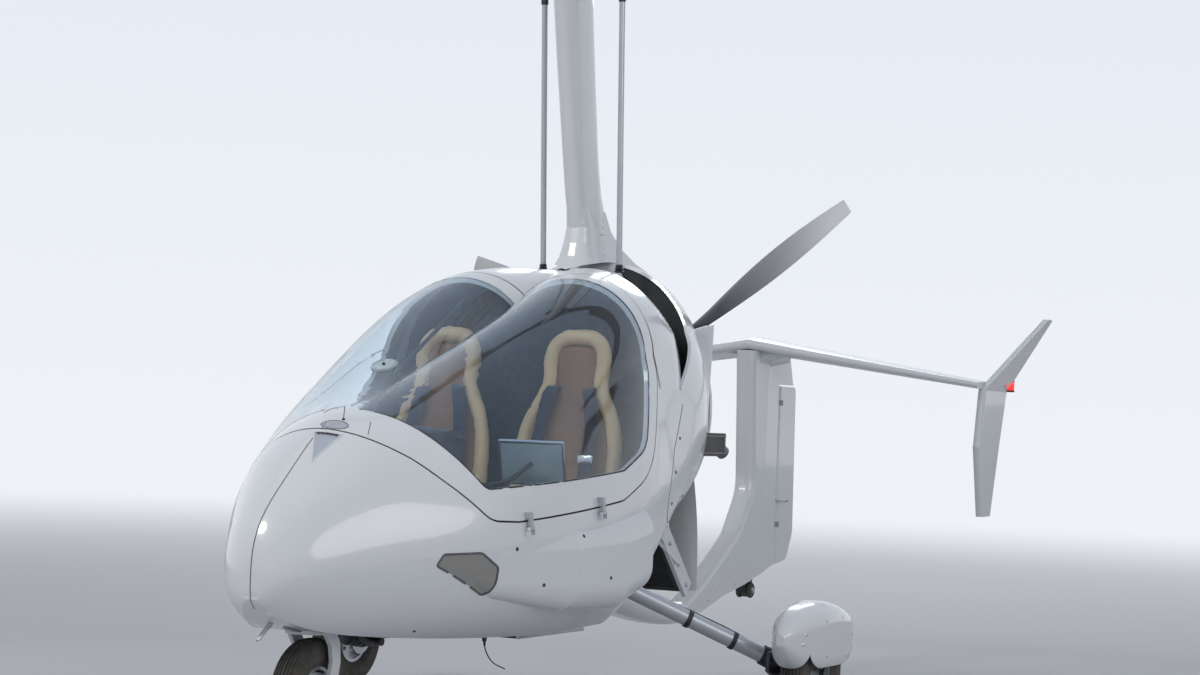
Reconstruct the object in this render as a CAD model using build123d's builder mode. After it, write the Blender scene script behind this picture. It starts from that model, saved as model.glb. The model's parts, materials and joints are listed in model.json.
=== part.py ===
# Side-by-side gyrocopter with a pusher propeller, standing parked on its three wheels.
# Millimetres. +X is the aircraft's left side, -Y is forward, +Z is up.
# The origin is on the ground straight below the rotor hub.
import math
import os

from build123d import *

os.makedirs("parts", exist_ok=True)

# driving sizes
skin = 22.0            # thickness of the cabin's moulded walls
glass_t = 6.0          # thickness of the glazing
cowl_skin = 12.0       # thickness of the engine cowl
seam_gap = 6.0         # clearance all round the opening canopy
track_half = 970.0     # half of the distance between the main wheels
main_axle_y = 105.0
main_r = 200.0         # main tyre radius
main_w = 104.0
nose_axle_y = -1700.0
nose_r = 182.0
nose_w = 96.0
nose_pin_y = -1712.0   # upright pin that the nose fork turns on
well_r = 96.0          # well in the floor that the fork's crown turns in
axle_d = 30.0
bore_slack = 0.06      # running fit at the wheels' bores, on the radius
prop_y = 884.0         # plane of the propeller
prop_z = 1355.0
prop_r = 960.0
shaft_r = 30.0
prop_first_deg = 38.0  # angle at which the first blade stands
mast_half_t = 40.0
rotor_z = 2860.0       # underside of the rotor hub bar
rotor_r = 4300.0
blade_chord = 210.0
rotor_park_deg = 32.0  # how far the parked rotor stands turned from straight across
blade_t = 26.0
fin_end_y = 2040.0     # where the fixed fin stops
rudder_y = 2078.0      # upright hinge line of the rudder
rudder_nose_r = 29.5   # the rudder's leading edge is round about its hinge line
hinge_pin_r = 5.0
hinge_z = (640.0, 1180.0)
tail_half = 1000.0     # half span of the tailplane


def mid_of_tangent_arc(p, q, up):
    # middle point of the arc that leaves p straight up or down and ends at q
    dx, dz = q[0] - p[0], q[1] - p[1]
    r = (dx * dx + dz * dz) / (2 * abs(dx))
    cx = p[0] + math.copysign(r, dx)
    a0 = math.atan2(0, p[0] - cx)
    a1 = math.atan2(q[1] - p[1], q[0] - cx)
    a = (a0 + a1) / 2
    return (cx + r * math.cos(a), p[1] + r * math.sin(a))


# body sections, outer skin, columns:
# y, bottom z, half width of flat bottom, half width, z of half width,
# shoulder x, shoulder z, crest x, crest z, z on the centre line
BODY = [
    (-2052, 498, 18, 52, 560, 40, 606, 20, 630, 636),
    (-2000, 450, 60, 130, 570, 100, 680, 50, 735, 752),
    (-1880, 405, 110, 215, 590, 170, 760, 90, 845, 868),
    (-1700, 380, 190, 330, 620, 270, 840, 150, 970, 1013),
    (-1450, 366, 290, 480, 660, 400, 900, 230, 1050, 1105),
    (-1150, 360, 380, 590, 700, 500, 1020, 270, 1195, 1205),
    (-850, 360, 420, 630, 740, 530, 1130, 260, 1375, 1315),
    (-500, 365, 400, 616, 800, 532, 1285, 250, 1545, 1445),
    (-370, 374, 375, 592, 840, 522, 1310, 262, 1588, 1512),
    (-200, 450, 260, 568, 920, 502, 1335, 245, 1612, 1582),
    (60, 600, 160, 530, 1080, 446, 1400, 225, 1630, 1650),
    (250, 640, 160, 470, 1100, 392, 1430, 210, 1628, 1676),
    (450, 670, 130, 382, 1115, 298, 1410, 158, 1582, 1638),
    (800, 730, 80, 225, 1125, 160, 1385, 85, 1515, 1570),
]
# neck behind the canopy, between the two air intakes, same columns
NECK = [
    (-200, 450, 260, 568, 920, 502, 1335, 245, 1612, 1582),
    (0, 480, 240, 470, 1150, 428, 1400, 190, 1592, 1622),
    (240, 500, 220, 330, 1000, 262, 1330, 140, 1520, 1560),
]


def body_solid(rows, inset):
    # an inner surface starts further in, so that the tip stays closed
    with BuildPart() as b:
        for n, (y, zb, xb, w, zm, xs, zs, xc, zc, zt) in enumerate(rows):
            k = inset
            if y < -2000 and k > 0:
                y += k
            p0, p1 = (0, zb + k), (xb, zb + k)
            p2 = (w - k, zm)
            p3 = (xs - 0.8 * k, zs - 0.6 * k)
            pc, p4 = (xc - 0.2 * k, zc - k), (0, zt - k)
            low = mid_of_tangent_arc(p2, p1, False)
            side = mid_of_tangent_arc(p2, p3, True)
            with BuildSketch(Plane(origin=(0, y, 0), x_dir=(1, 0, 0), z_dir=(0, -1, 0))):
                with BuildLine():
                    Line((-p1[0], p1[1]), p1)
                    ThreePointArc(p1, low, p2)
                    ThreePointArc(p2, side, p3)
                    ThreePointArc(p3, pc, p4)
                    ThreePointArc(p4, (-pc[0], pc[1]), (-p3[0], p3[1]))
                    ThreePointArc((-p3[0], p3[1]), (-side[0], side[1]), (-p2[0], p2[1]))
                    ThreePointArc((-p2[0], p2[1]), (-low[0], low[1]), (-p1[0], p1[1]))
                make_face()
        loft()
    return b.part


def side_prism(points, radii, grow=0.0, half=900.0):
    # solid across the body whose outline in the side view is a polygon with rounded corners
    with BuildPart() as b:
        with BuildSketch(Plane(origin=(0, 0, 0), x_dir=(0, 1, 0), z_dir=(1, 0, 0))) as s:
            with BuildLine():
                Polyline(*points, close=True)
            make_face()
            for (py, pz), r in zip(points, radii):
                if r:
                    v = [v for v in s.vertices() if abs(v.X - py) + abs(v.Y - pz) < 0.01
                         or abs(v.Y - py) + abs(v.Z - pz) < 0.01]
                    fillet(v[:1], r)
            if grow:
                offset(amount=grow, kind=Kind.INTERSECTION)
        extrude(amount=half, both=True)
    return b.part


def slab(y0, y1, z0, z1, x0=-900.0, x1=900.0):
    with BuildPart() as b:
        with Locations(((x0 + x1) / 2, (y0 + y1) / 2, (z0 + z1) / 2)):
            Box(x1 - x0, y1 - y0, z1 - z0)
    return b.part


# side view of the opening canopy: seam with the tub, then the glass inside it
SEAM = [(-1830, 1136), (-1600, 932), (-1436, 748), (-1340, 746), (-800, 812), (-560, 905),
        (-385, 1230), (-372, 1450), (-372, 1800), (-1830, 1800)]
SEAM_R = [0, 0, 60, 0, 150, 300, 200, 0, 0, 0]
PANE = [(-1700, 1244), (-1520, 1062), (-1428, 842), (-780, 908), (-590, 985), (-455, 1250),
        (-440, 1450), (-440, 1800), (-1700, 1800)]
PANE_R = [0, 120, 22, 60, 150, 200, 0, 0, 0]

outer = body_solid(BODY, 0)
inner = body_solid(BODY, skin)
glass_in = body_solid(BODY, glass_t)
seam_cut = side_prism(SEAM, SEAM_R)
seam_wide = side_prism(SEAM, SEAM_R, seam_gap)
pane_cut = side_prism(PANE, PANE_R)
with BuildPart() as hull_shell:
    add(outer)
    add(inner, mode=Mode.SUBTRACT)
# side view of the engine cowl: seam with the tub, then the leaning front edge of the intakes
COWL = [(10, 660), (-195, 702), (-320, 745), (-335, 804), (-280, 979), (-162, 1142), (-150, 1204), (-20, 1290),
        (85, 1362), (135, 1432), (165, 1540), (190, 1610), (215, 1720), (900, 1720), (900, 500), (10, 500)]
COWL_R = [0, 60, 50, 0, 60, 16, 20, 60, 60, 80, 80, 0, 0, 0, 0, 0]
cowl_cut = side_prism(COWL, COWL_R)
neck_top = 1192.0      # height at which the neck sits on the tub

# side pods that form the steps, columns: y, inner x, outer x, bottom z, top z
POD = [
    (-1570, 300, 392, 572, 640),
    (-1400, 300, 505, 500, 700),
    (-1100, 300, 622, 452, 740),
    (-800, 300, 664, 446, 770),
    (-640, 300, 672, 500, 790),
    (-585, 300, 640, 560, 770),
]


with BuildPart() as pod_left:
    for y, x0, x1, z0, z1 in POD:
        with BuildSketch(Plane(origin=(0, y, 0), x_dir=(1, 0, 0), z_dir=(0, -1, 0))):
            with Locations(((x0 + x1) / 2, (z0 + z1) / 2)):
                RectangleRounded(x1 - x0, z1 - z0, 0.3 * (z1 - z0))
    loft(ruled=True)
    add(inner, mode=Mode.SUBTRACT)
with BuildPart() as pod_right:
    add(mirror(pod_left.part, about=Plane.YZ))

# side view of the landing light set into the front of each pod
LAMP = [(-1612, 606), (-1592, 641), (-1474, 646), (-1414, 602), (-1426, 506)]
LAMP_R = [6, 10, 22, 16, 12]


with BuildPart() as landing_light_left:
    add(side_prism(LAMP, LAMP_R))
    add(slab(-1700, -1300, 400, 800, 200, 900), mode=Mode.INTERSECT)
    lamp_cut = landing_light_left.part
    add(hull_shell.part, mode=Mode.INTERSECT)
    with BuildPart(mode=Mode.ADD):
        add(pod_left.part)
        add(lamp_cut, mode=Mode.INTERSECT)
landing_light_left.part.label = "landing_light_left"
export_step(landing_light_left.part, "parts/landing_light_left.step")

with BuildPart() as landing_light_right:
    add(mirror(landing_light_left.part, about=Plane.YZ))
landing_light_right.part.label = "landing_light_right"
export_step(landing_light_right.part, "parts/landing_light_right.step")


# hinge line of the canopy outside the left sill, through these two points
hinge_a = (552, -1310, 722)
hinge_b = (634, -960, 770)
hinge_dir = (Vector(*hinge_b) - Vector(*hinge_a)).normalized()
sill_pin_r = 4.0


def hinge_plane(at):
    # across the hinge line, local x inboard and local y up
    return Plane(origin=at, x_dir=Vector(-hinge_dir.Y, hinge_dir.X, 0).normalized(), z_dir=hinge_dir)


def hinge_ears(at):
    # two ears on the sill with the pin between them
    with BuildPart() as b:
        for z0 in (-15, 10):
            with BuildSketch(hinge_plane(at).offset(z0)):
                Circle(6.5)
                with Locations((12, -8)):
                    Rectangle(36, 24)
            extrude(amount=5)
        with BuildSketch(hinge_plane(at).offset(-17)):
            Circle(sill_pin_r)
        extrude(amount=34)
    return b.part


with BuildPart() as fuselage_tub:
    add(hull_shell.part)
    add([cowl_cut, slab(-380, 900, neck_top, 1800), slab(10, 900, 300, 700), seam_wide], mode=Mode.SUBTRACT)
    add([pod_left.part, pod_right.part])
    add([landing_light_left.part, landing_light_right.part], mode=Mode.SUBTRACT)
    add([hinge_ears(hinge_a), hinge_ears(hinge_b)])
    # well for the nose wheel's fork
    with Locations((0, nose_pin_y, 380)):
        Cylinder(well_r, 150, mode=Mode.SUBTRACT)
fuselage_tub.part.label = "fuselage_tub"
export_step(fuselage_tub.part, "parts/fuselage_tub.step")

with BuildPart() as canopy_frame:
    add(hull_shell.part)
    add(seam_cut, mode=Mode.INTERSECT)
    add(pane_cut, mode=Mode.SUBTRACT)
canopy_frame.part.label = "canopy_frame"
export_step(canopy_frame.part, "parts/canopy_frame.step")

with BuildPart() as canopy_glass:
    add(outer)
    add(pane_cut, mode=Mode.INTERSECT)
    add(glass_in, mode=Mode.SUBTRACT)
canopy_glass.part.label = "canopy_glass"
export_step(canopy_glass.part, "parts/canopy_glass.step")

neck_solid = body_solid(NECK, 0)
with BuildPart() as roof_neck:
    add(neck_solid)
    add(body_solid(NECK, skin), mode=Mode.SUBTRACT)
    with BuildPart(mode=Mode.ADD):
        add(hull_shell.part)
        add(slab(-366, NECK[0][0], neck_top, 1900), mode=Mode.INTERSECT)
    add(slab(-366, 300, neck_top, 1900), mode=Mode.INTERSECT)
roof_neck.part.label = "roof_neck"
export_step(roof_neck.part, "parts/roof_neck.step")

cowl_in = body_solid(BODY, cowl_skin)
with BuildPart() as engine_cowl:
    add(outer)
    add(cowl_cut, mode=Mode.INTERSECT)
    add(cowl_in, mode=Mode.SUBTRACT)
    add(neck_solid, mode=Mode.SUBTRACT)
engine_cowl.part.label = "engine_cowl"
export_step(engine_cowl.part, "parts/engine_cowl.step")


# bulkhead that closes the cabin in front of the engine bay
with BuildPart() as cabin_bulkhead:
    add(slab(-330, -306, 395, 1700))
    add(inner, mode=Mode.INTERSECT)
cabin_bulkhead.part.label = "cabin_bulkhead"
export_step(cabin_bulkhead.part, "parts/cabin_bulkhead.step")

with BuildPart() as engine_block:
    add(slab(230, 700, 880, 1230, -150, 150))
    add(slab(700, 812, prop_z - 145, prop_z + 65, -75, 75))
    for side in (-1, 1):
        x0, x1 = sorted((side * 95, side * 120))
        add(slab(10, 230, 900, 940, x0, x1))
    # bearing of the propeller's shaft
    with Locations(Location((0, 800, prop_z), (90, 0, 0))):
        Cylinder(shaft_r + bore_slack, 40, mode=Mode.SUBTRACT)
engine_block.part.label = "engine_block"
export_step(engine_block.part, "parts/engine_block.step")

# plate across the cowl that the air from both intakes turns down in front of
with BuildPart() as air_baffle:
    add(slab(200, 222, 720, 1700))
    add(cowl_in, mode=Mode.INTERSECT)
    add(neck_solid, mode=Mode.SUBTRACT)
    add(engine_block.part, mode=Mode.SUBTRACT)
air_baffle.part.label = "air_baffle"
export_step(air_baffle.part, "parts/air_baffle.step")


def leaning_bar(points, r):
    # round bar along straight runs, joined by spheres at the corners
    with BuildPart() as b:
        for p, q in zip(points, points[1:]):
            v = Vector(*q) - Vector(*p)
            with BuildSketch(Plane(origin=p, z_dir=v.normalized())):
                Circle(r)
            extrude(amount=v.length)
        for p in points[1:-1]:
            with Locations(p):
                Sphere(r)
    return b.part


# mast, columns: z, y of the front, y of the back, half thickness
MAST = [(1700, 42, 205, mast_half_t), (2680, -167, 17, mast_half_t)]
with BuildPart() as mast_fairing:
    for z, y0, y1, t in MAST:
        with BuildSketch(Plane(origin=(0, (y0 + y1) / 2, z))):
            RectangleRounded(2 * t, y1 - y0, t - 6)
    loft(ruled=True)
mast_fairing.part.label = "mast_fairing"
export_step(mast_fairing.part, "parts/mast_fairing.step")

# fairing round the foot of the mast, columns: z, y of the front, y of the back, half width
COLLAR = [(1600, -60, 720, 100), (1640, -40, 620, 84), (1680, -15, 470, 68), (1730, 0, 350, 56),
          (1790, 12, 262, 48), (1860, -2, 215, 42)]
with BuildPart() as mast_collar:
    for z, y0, y1, t in COLLAR:
        with BuildSketch(Plane(origin=(0, (y0 + y1) / 2, z))):
            RectangleRounded(2 * t, y1 - y0, t - 8)
    loft(ruled=True)
    add(neck_solid, mode=Mode.SUBTRACT)
    add(outer, mode=Mode.SUBTRACT)
    add(mast_fairing.part, mode=Mode.SUBTRACT)
mast_collar.part.label = "mast_collar"
export_step(mast_collar.part, "parts/mast_collar.step")

# tilting head: cross arm for the rods, gimbal block, torque bar and bearing housing
with BuildPart() as rotor_head:
    add(slab(-6, 34, 2676, 2716, -185, 185))
    add(slab(-96, 60, 2682, 2738, -44, 44))
    add(slab(-130, 60, 2738, 2760, -60, 60))
    with Locations((0, 0, 2786)):
        Cylinder(42, 56)
    with Locations((0, 0, 2820)):
        Cylinder(16, 40)
    with Locations((-48, -128, 2710)):
        Cylinder(26, 120)
    add(mast_fairing.part, mode=Mode.SUBTRACT)
rotor_head.part.label = "rotor_head"
export_step(rotor_head.part, "parts/rotor_head.step")

# control rods beside the mast
with BuildPart() as head_pushrods:
    for side in (-1, 1):
        add(leaning_bar([(side * 159, 84, 1590), (side * 162, 10, 2686)], 11))
    add(rotor_head.part, mode=Mode.SUBTRACT)
    add(outer, mode=Mode.SUBTRACT)
head_pushrods.part.label = "head_pushrods"
export_step(head_pushrods.part, "parts/head_pushrods.step")


def parked(part):
    # the rotor's pieces are drawn straight across the aircraft, then turned to where it is parked
    return part.rotate(Axis.Z, rotor_park_deg)


# tower on the spindle, which turns, with the bolt that the blades teeter on
teeter_z = 2902.0
bolt_d = 14.0
with BuildPart() as tower_across:
    add(slab(-66, 66, 2820, 2832, -42, 42))
    for side in (-1, 1):
        add(slab(min(side * 54, side * 66), max(side * 54, side * 66), 2832, 2922, -32, 32))
    with Locations((0, 0, 2826)):
        Cylinder(16 + bore_slack, 20, mode=Mode.SUBTRACT)
    with Locations((0, 0, teeter_z)):
        Cylinder(bolt_d / 2, 152, rotation=(90, 0, 0))
with BuildPart() as rotor_tower:
    add(parked(tower_across.part))
rotor_tower.part.label = "rotor_tower"
export_step(rotor_tower.part, "parts/rotor_tower.step")

with BuildPart() as bar_across:
    add(slab(-47, 47, rotor_z, rotor_z + 24, -300, 300))
    add(slab(-47, 47, rotor_z + 24, 2920, -26, 26))
    for end in (-1, 1):
        x0, x1 = sorted((end * 190, end * 500))
        add(slab(-40, 40, rotor_z + 24, rotor_z + 31, x0, x1))
        add(slab(-40, 40, rotor_z - 7, rotor_z, x0, x1))
    with Locations((0, 0, teeter_z)):
        Cylinder(bolt_d / 2 + bore_slack, 200, rotation=(90, 0, 0), mode=Mode.SUBTRACT)
with BuildPart() as rotor_hub_bar:
    add(parked(bar_across.part))
rotor_hub_bar.part.label = "rotor_hub_bar"
export_step(rotor_hub_bar.part, "parts/rotor_hub_bar.step")


def rotor_blade(end):
    # end is 1 for the left blade, whose leading edge faces aft; the rotor turns anticlockwise from above
    with BuildPart() as b:
        x0, x1 = sorted((end * 300, end * 520))
        add(slab(-47, 47, rotor_z, rotor_z + 24, x0, x1))
        with BuildSketch(Plane(origin=(end * 520, 0, rotor_z), x_dir=(0, 1, 0), z_dir=(1, 0, 0))):
            with BuildLine():
                nose = (end * 62, 11)
                tail_hi = (-end * (blade_chord - 62), 9)
                tail_lo = (-end * (blade_chord - 62), 6)
                ThreePointArc((end * 46, 3), nose, (end * 46, 20))
                ThreePointArc((end * 46, 20), (0, blade_t - 1), tail_hi)
                Line(tail_hi, tail_lo)
                Line(tail_lo, (end * 46, 3))
            make_face()
        extrude(amount=end * (rotor_r - 520))
    return b.part


with BuildPart() as rotor_blade_left:
    add(parked(rotor_blade(1)))
rotor_blade_left.part.label = "rotor_blade_left"
export_step(rotor_blade_left.part, "parts/rotor_blade_left.step")

with BuildPart() as rotor_blade_right:
    add(parked(rotor_blade(-1)))
rotor_blade_right.part.label = "rotor_blade_right"
export_step(rotor_blade_right.part, "parts/rotor_blade_right.step")

# propeller, blade sections in columns: radius, chord, thickness, pitch in degrees
PROP = [(50, 52, 40, 48), (240, 92, 24, 40), (450, 118, 17, 27), (720, 112, 12, 18), (960, 66, 7, 13)]
with BuildPart() as propeller_hub:
    with Locations(Location((0, prop_y, prop_z), (90, 0, 0))):
        Cylinder(72, 66)
    with Locations(Location((0, prop_y + 40, prop_z), (90, 0, 0))):
        Cylinder(52, 22)
    with Locations(Location((0, prop_y - 64, prop_z), (90, 0, 0))):
        Cylinder(shaft_r, 68)
propeller_hub.part.label = "propeller_hub"
export_step(propeller_hub.part, "parts/propeller_hub.step")


def prop_blade():
    with BuildPart() as b:
        for r, chord, t, pitch in PROP:
            a = math.radians(pitch)
            with BuildSketch(Plane(origin=(r, 0, 0), x_dir=(0, math.sin(a), math.cos(a)), z_dir=(1, 0, 0))):
                with BuildLine():
                    le, te = (-0.45 * chord, 0), (0.55 * chord, 0)
                    ThreePointArc(le, (-0.1 * chord, t * 0.55), te)
                    ThreePointArc(te, (-0.1 * chord, -t * 0.45), le)
                make_face()
        loft()
    return b.part


one_blade = prop_blade()
with BuildPart() as propeller_blades:
    for k in range(3):
        with Locations(Location((0, prop_y, prop_z), (0, -(prop_first_deg + 120 * k), 0))):
            add(one_blade)
    with Locations(Location((0, prop_y, prop_z), (90, 0, 0))):
        Cylinder(72, 90, mode=Mode.SUBTRACT)
propeller_blades.part.label = "propeller_blades"
export_step(propeller_blades.part, "parts/propeller_blades.step")

# black outlet band and pale ring behind the cowl
last = BODY[-1]
ring_rows = [(800,) + last[1:], (818,) + last[1:]]
rear_rows = [(818,) + last[1:], (838,) + last[1:]]
with BuildPart() as cowl_vent_band:
    add(body_solid(ring_rows, 8))
    add(body_solid(ring_rows, 22), mode=Mode.SUBTRACT)
cowl_vent_band.part.label = "cowl_vent_band"
export_step(cowl_vent_band.part, "parts/cowl_vent_band.step")

with BuildPart() as cowl_rear_ring:
    add(body_solid(rear_rows, -6))
    add(body_solid(rear_rows, 16), mode=Mode.SUBTRACT)
cowl_rear_ring.part.label = "cowl_rear_ring"
export_step(cowl_rear_ring.part, "parts/cowl_rear_ring.step")

with BuildPart() as firewall:
    add(slab(-14, 10, 395, 1186))
    add(inner, mode=Mode.INTERSECT)
firewall.part.label = "firewall"
export_step(firewall.part, "parts/firewall.step")

# boom from the belly to the fin, columns: y, z of the centre, half width, half height
BOOM = [(-300, 474, 140, 86), (10, 500, 128, 92), (300, 432, 95, 72), (700, 336, 62, 54), (1000, 300, 52, 42), (1070, 302, 50, 42)]
with BuildPart() as tail_boom:
    for y, zc, hw, hh in BOOM:
        with BuildSketch(Plane(origin=(0, y, zc), x_dir=(1, 0, 0), z_dir=(0, -1, 0))):
            RectangleRounded(2 * hw, 2 * hh, 0.8 * min(hw, hh))
    loft()
    add(outer, mode=Mode.SUBTRACT)
tail_boom.part.label = "tail_boom"
export_step(tail_boom.part, "parts/tail_boom.step")

# side view of the whole tail, fin and rudder together
TAIL = [(1070, 262), (1070, 345), (1250, 425), (1600, 622), (1742, 800), (1700, 1400), (2190, 1400),
        (2252, 1268), (2296, 1244), (2318, 600), (2235, 480), (2000, 458), (1694, 392), (1447, 350), (1250, 300)]
TAIL_R = [0, 0, 300, 200, 160, 0, 0, 20, 30, 60, 60, 100, 200, 200, 60]


def tail_solid(shrink):
    with BuildPart() as b:
        add(side_prism(TAIL, TAIL_R, 0, 46 - shrink))
        with BuildSketch(Plane.XY):
            with BuildLine():
                Polyline((-46, 1040), (46, 1040), (46, 1880), (9, 2325), (-9, 2325), (-46, 1880), close=True)
            make_face()
        extrude(amount=1500, mode=Mode.INTERSECT)
    return b.part


fin_nose_r = 34.0      # rounding of the fin's leading edge


def on_fin_nose(e):
    c = e.center()
    return abs(abs(c.X) - 46) < 0.01 and c.Y < 1760 and c.Z > 330 + 0.48 * (c.Y - 1070)


with BuildPart() as tail_all:
    add(tail_solid(0))
    fillet(tail_all.edges().filter_by(on_fin_nose), radius=fin_nose_r)
# tailplane, columns: x, y of leading edge, y of trailing edge, z of the mean line, thickness
PLANE_ROWS = [(-tail_half, 1860, 2190, 1282, 36), (0, 1722, 2200, 1428, 72), (tail_half, 1860, 2190, 1282, 36)]
with BuildPart() as stabilizer:
    for x, y0, y1, zc, t in PLANE_ROWS:
        c = y1 - y0
        with BuildSketch(Plane(origin=(x, y0, zc), x_dir=(0, 1, 0), z_dir=(1, 0, 0))):
            with BuildLine():
                ThreePointArc((0.05 * c, -0.3 * t), (0, 0), (0.05 * c, 0.3 * t))
                ThreePointArc((0.05 * c, 0.3 * t), (0.38 * c, 0.5 * t), (c, 3))
                Line((c, 3), (c, -3))
                ThreePointArc((c, -3), (0.38 * c, -0.5 * t), (0.05 * c, -0.3 * t))
            make_face()
    loft(ruled=True)
stabilizer.part.label = "stabilizer"
export_step(stabilizer.part, "parts/stabilizer.step")

# hollow rounding between the fin and the tailplane, columns: y, half width of the fin, z below the tailplane
ROOT = [(1775, 45, 1397), (1904, 43, 1386), (2175, 20, 1411)]
root_r = 62.0


def root_fillet(side):
    with BuildPart() as b:
        for y, h, z in ROOT:
            with BuildSketch(Plane(origin=(0, y, 0), x_dir=(side, 0, 0), z_dir=(0, -side, 0))):
                with BuildLine():
                    low, far = (h, z - root_r), (h + root_r, z - 9)
                    ThreePointArc(low, (h + 0.29 * root_r, z - 0.34 * root_r), far)
                    Polyline(far, (h + root_r, z + 6), (h - 12, z + 12), (h - 12, z - root_r), low)
                make_face()
        loft(ruled=True)
    return b.part


with BuildPart() as fin:
    add(tail_all.part)
    add([root_fillet(-1), root_fillet(1)])
    add(slab(fin_end_y, 2400, 200, 1262, -100, 100), mode=Mode.SUBTRACT)
    add(stabilizer.part, mode=Mode.SUBTRACT)
    for z in hinge_z:
        add(slab(fin_end_y - 20, rudder_y, z - 6, z + 6, -11, 11))
        with Locations((0, rudder_y, z)):
            Cylinder(11, 12)
            Cylinder(hinge_pin_r + bore_slack, 12, mode=Mode.SUBTRACT)
fin.part.label = "fin"
export_step(fin.part, "parts/fin.step")

with BuildPart() as rudder:
    add(slab(rudder_y, 2400, 200, 1254, -100, 100))
    with Locations((0, rudder_y, 727)):
        Cylinder(rudder_nose_r, 1054)
    add(tail_all.part, mode=Mode.INTERSECT)
    for z in hinge_z:
        with Locations((0, rudder_y, z)):
            Cylinder(40, 24, mode=Mode.SUBTRACT)
            Cylinder(hinge_pin_r, 30)
rudder.part.label = "rudder"
export_step(rudder.part, "parts/rudder.step")

# outer fins, columns: z, x, y of leading edge, y of trailing edge
OUTER_FIN = [(722, 962, 2062, 2218), (1020, 982, 1922, 2250), (1262, 996, 1930, 2292), (1575, 1212, 2112, 2216)]
outer_fin_t = 24.0


def outer_fin(side):
    with BuildPart() as b:
        for z, x, y0, y1 in OUTER_FIN:
            h = outer_fin_t / 2
            with BuildSketch(Plane(origin=(side * x, y0, z))):
                with BuildLine():
                    ThreePointArc((-h, 30), (0, 0), (h, 30))
                    Line((h, 30), (2, y1 - y0))
                    Line((2, y1 - y0), (-2, y1 - y0))
                    Line((-2, y1 - y0), (-h, 30))
                make_face()
        loft(ruled=True)
        add(stabilizer.part, mode=Mode.SUBTRACT)
    return b.part


with BuildPart() as outer_fin_left:
    add(outer_fin(1))
outer_fin_left.part.label = "outer_fin_left"
export_step(outer_fin_left.part, "parts/outer_fin_left.step")

with BuildPart() as outer_fin_right:
    add(outer_fin(-1))
outer_fin_right.part.label = "outer_fin_right"
export_step(outer_fin_right.part, "parts/outer_fin_right.step")


def nav_light(side):
    with BuildPart() as b:
        with Locations((side * 1016, 2292, 1290)):
            Cylinder(15, 44)
        add(outer_fin(side), mode=Mode.SUBTRACT)
    return b.part


with BuildPart() as nav_light_left:
    add(nav_light(1))
nav_light_left.part.label = "nav_light_left"
export_step(nav_light_left.part, "parts/nav_light_left.step")

with BuildPart() as nav_light_right:
    add(nav_light(-1))
nav_light_right.part.label = "nav_light_right"
export_step(nav_light_right.part, "parts/nav_light_right.step")

with BuildPart() as tail_bumper:
    with BuildSketch(Plane(origin=(0, 1800, 330), x_dir=(0, 1, 0), z_dir=(1, 0, 0))):
        with BuildLine():
            Polyline((-62, 120), (60, 120), (38, 20), (10, 0), (-20, 20), close=True)
        make_face()
    extrude(amount=16, both=True)
    add(fin.part, mode=Mode.SUBTRACT)
tail_bumper.part.label = "tail_bumper"
export_step(tail_bumper.part, "parts/tail_bumper.step")

# main legs, columns: x, y, z from the fuselage to the axle bracket
LEG = [(398, -282, 485), (862, 36, 236)]
leg_r = 29.0


def gear_leg(side):
    with BuildPart() as b:
        add(leaning_bar([(side * x, y, z) for x, y, z in LEG], leg_r))
        add(outer, mode=Mode.SUBTRACT)
        x0, x1 = sorted((side * 848, side * 1100))
        add(slab(-400, 400, 0, 500, x0, x1), mode=Mode.SUBTRACT)
    return b.part


# wheel fairing sections, columns: y, half width, bottom z, top z
SPAT = [(-205, 14, 312, 352), (-160, 46, 262, 392), (-60, 80, 212, 440), (110, 92, 190, 458),
        (290, 76, 205, 430), (400, 46, 262, 390), (448, 14, 318, 356)]


def spat(side):
    with BuildPart() as b:
        for y, hw, z0, z1 in SPAT:
            with BuildSketch(Plane(origin=(side * track_half, y, (z0 + z1) / 2), x_dir=(1, 0, 0),
                                   z_dir=(0, -1, 0))):
                RectangleRounded(2 * hw, z1 - z0, 0.86 * min(hw, (z1 - z0) / 2))
        loft()
        # wheel space, open below
        with Locations((side * track_half, main_axle_y, main_r)):
            Cylinder(main_r + 16, main_w + 40, rotation=(0, 90, 0), mode=Mode.SUBTRACT)
        x0, x1 = sorted((side * (track_half - 72), side * (track_half + 72)))
        add(slab(-60, 260, 0, main_r, x0, x1), mode=Mode.SUBTRACT)
        x0, x1 = sorted((side * (track_half - 72), side * (track_half - 120)))
        add(slab(main_axle_y - 40, main_axle_y + 40, 0, main_r + 32, x0, x1), mode=Mode.SUBTRACT)
        x0, x1 = sorted((side * (track_half + 72), side * (track_half + 120)))
        add(slab(main_axle_y - 110, main_axle_y + 110, 0, main_r + 30, x0, x1), mode=Mode.SUBTRACT)
    return b.part


def axle(side, fairing):
    # bracket plate at the foot of the leg, axle pin and end washer
    with BuildPart() as b:
        x0, x1 = sorted((side * 848, side * 862))
        with BuildSketch(Plane(origin=(x0, 0, 0), x_dir=(0, 1, 0), z_dir=(1, 0, 0))):
            with BuildLine():
                Polyline((-30, 205), (-20, 272), (60, 285), (150, 235), (150, 170), (80, 160), close=True)
            make_face()
        extrude(amount=14)
        with Locations((side * (862 + 79), main_axle_y, main_r)):
            Cylinder(axle_d / 2, 158, rotation=(0, 90, 0))
        with Locations((side * 1024, main_axle_y, main_r)):
            Cylinder(24, 8, rotation=(0, 90, 0))
        # lug that carries the wheel fairing
        x0, x1 = sorted((side * 862, side * 894))
        add(slab(10, 110, 248, 272, x0, x1))
        add(fairing, mode=Mode.SUBTRACT)
    return b.part


# half of the tyre's section, columns: share of the width, share of the height above the bead
TREAD = [(0.34, 0.0), (0.47, 0.26), (0.50, 0.55), (0.42, 0.84), (0.24, 0.97)]


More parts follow.
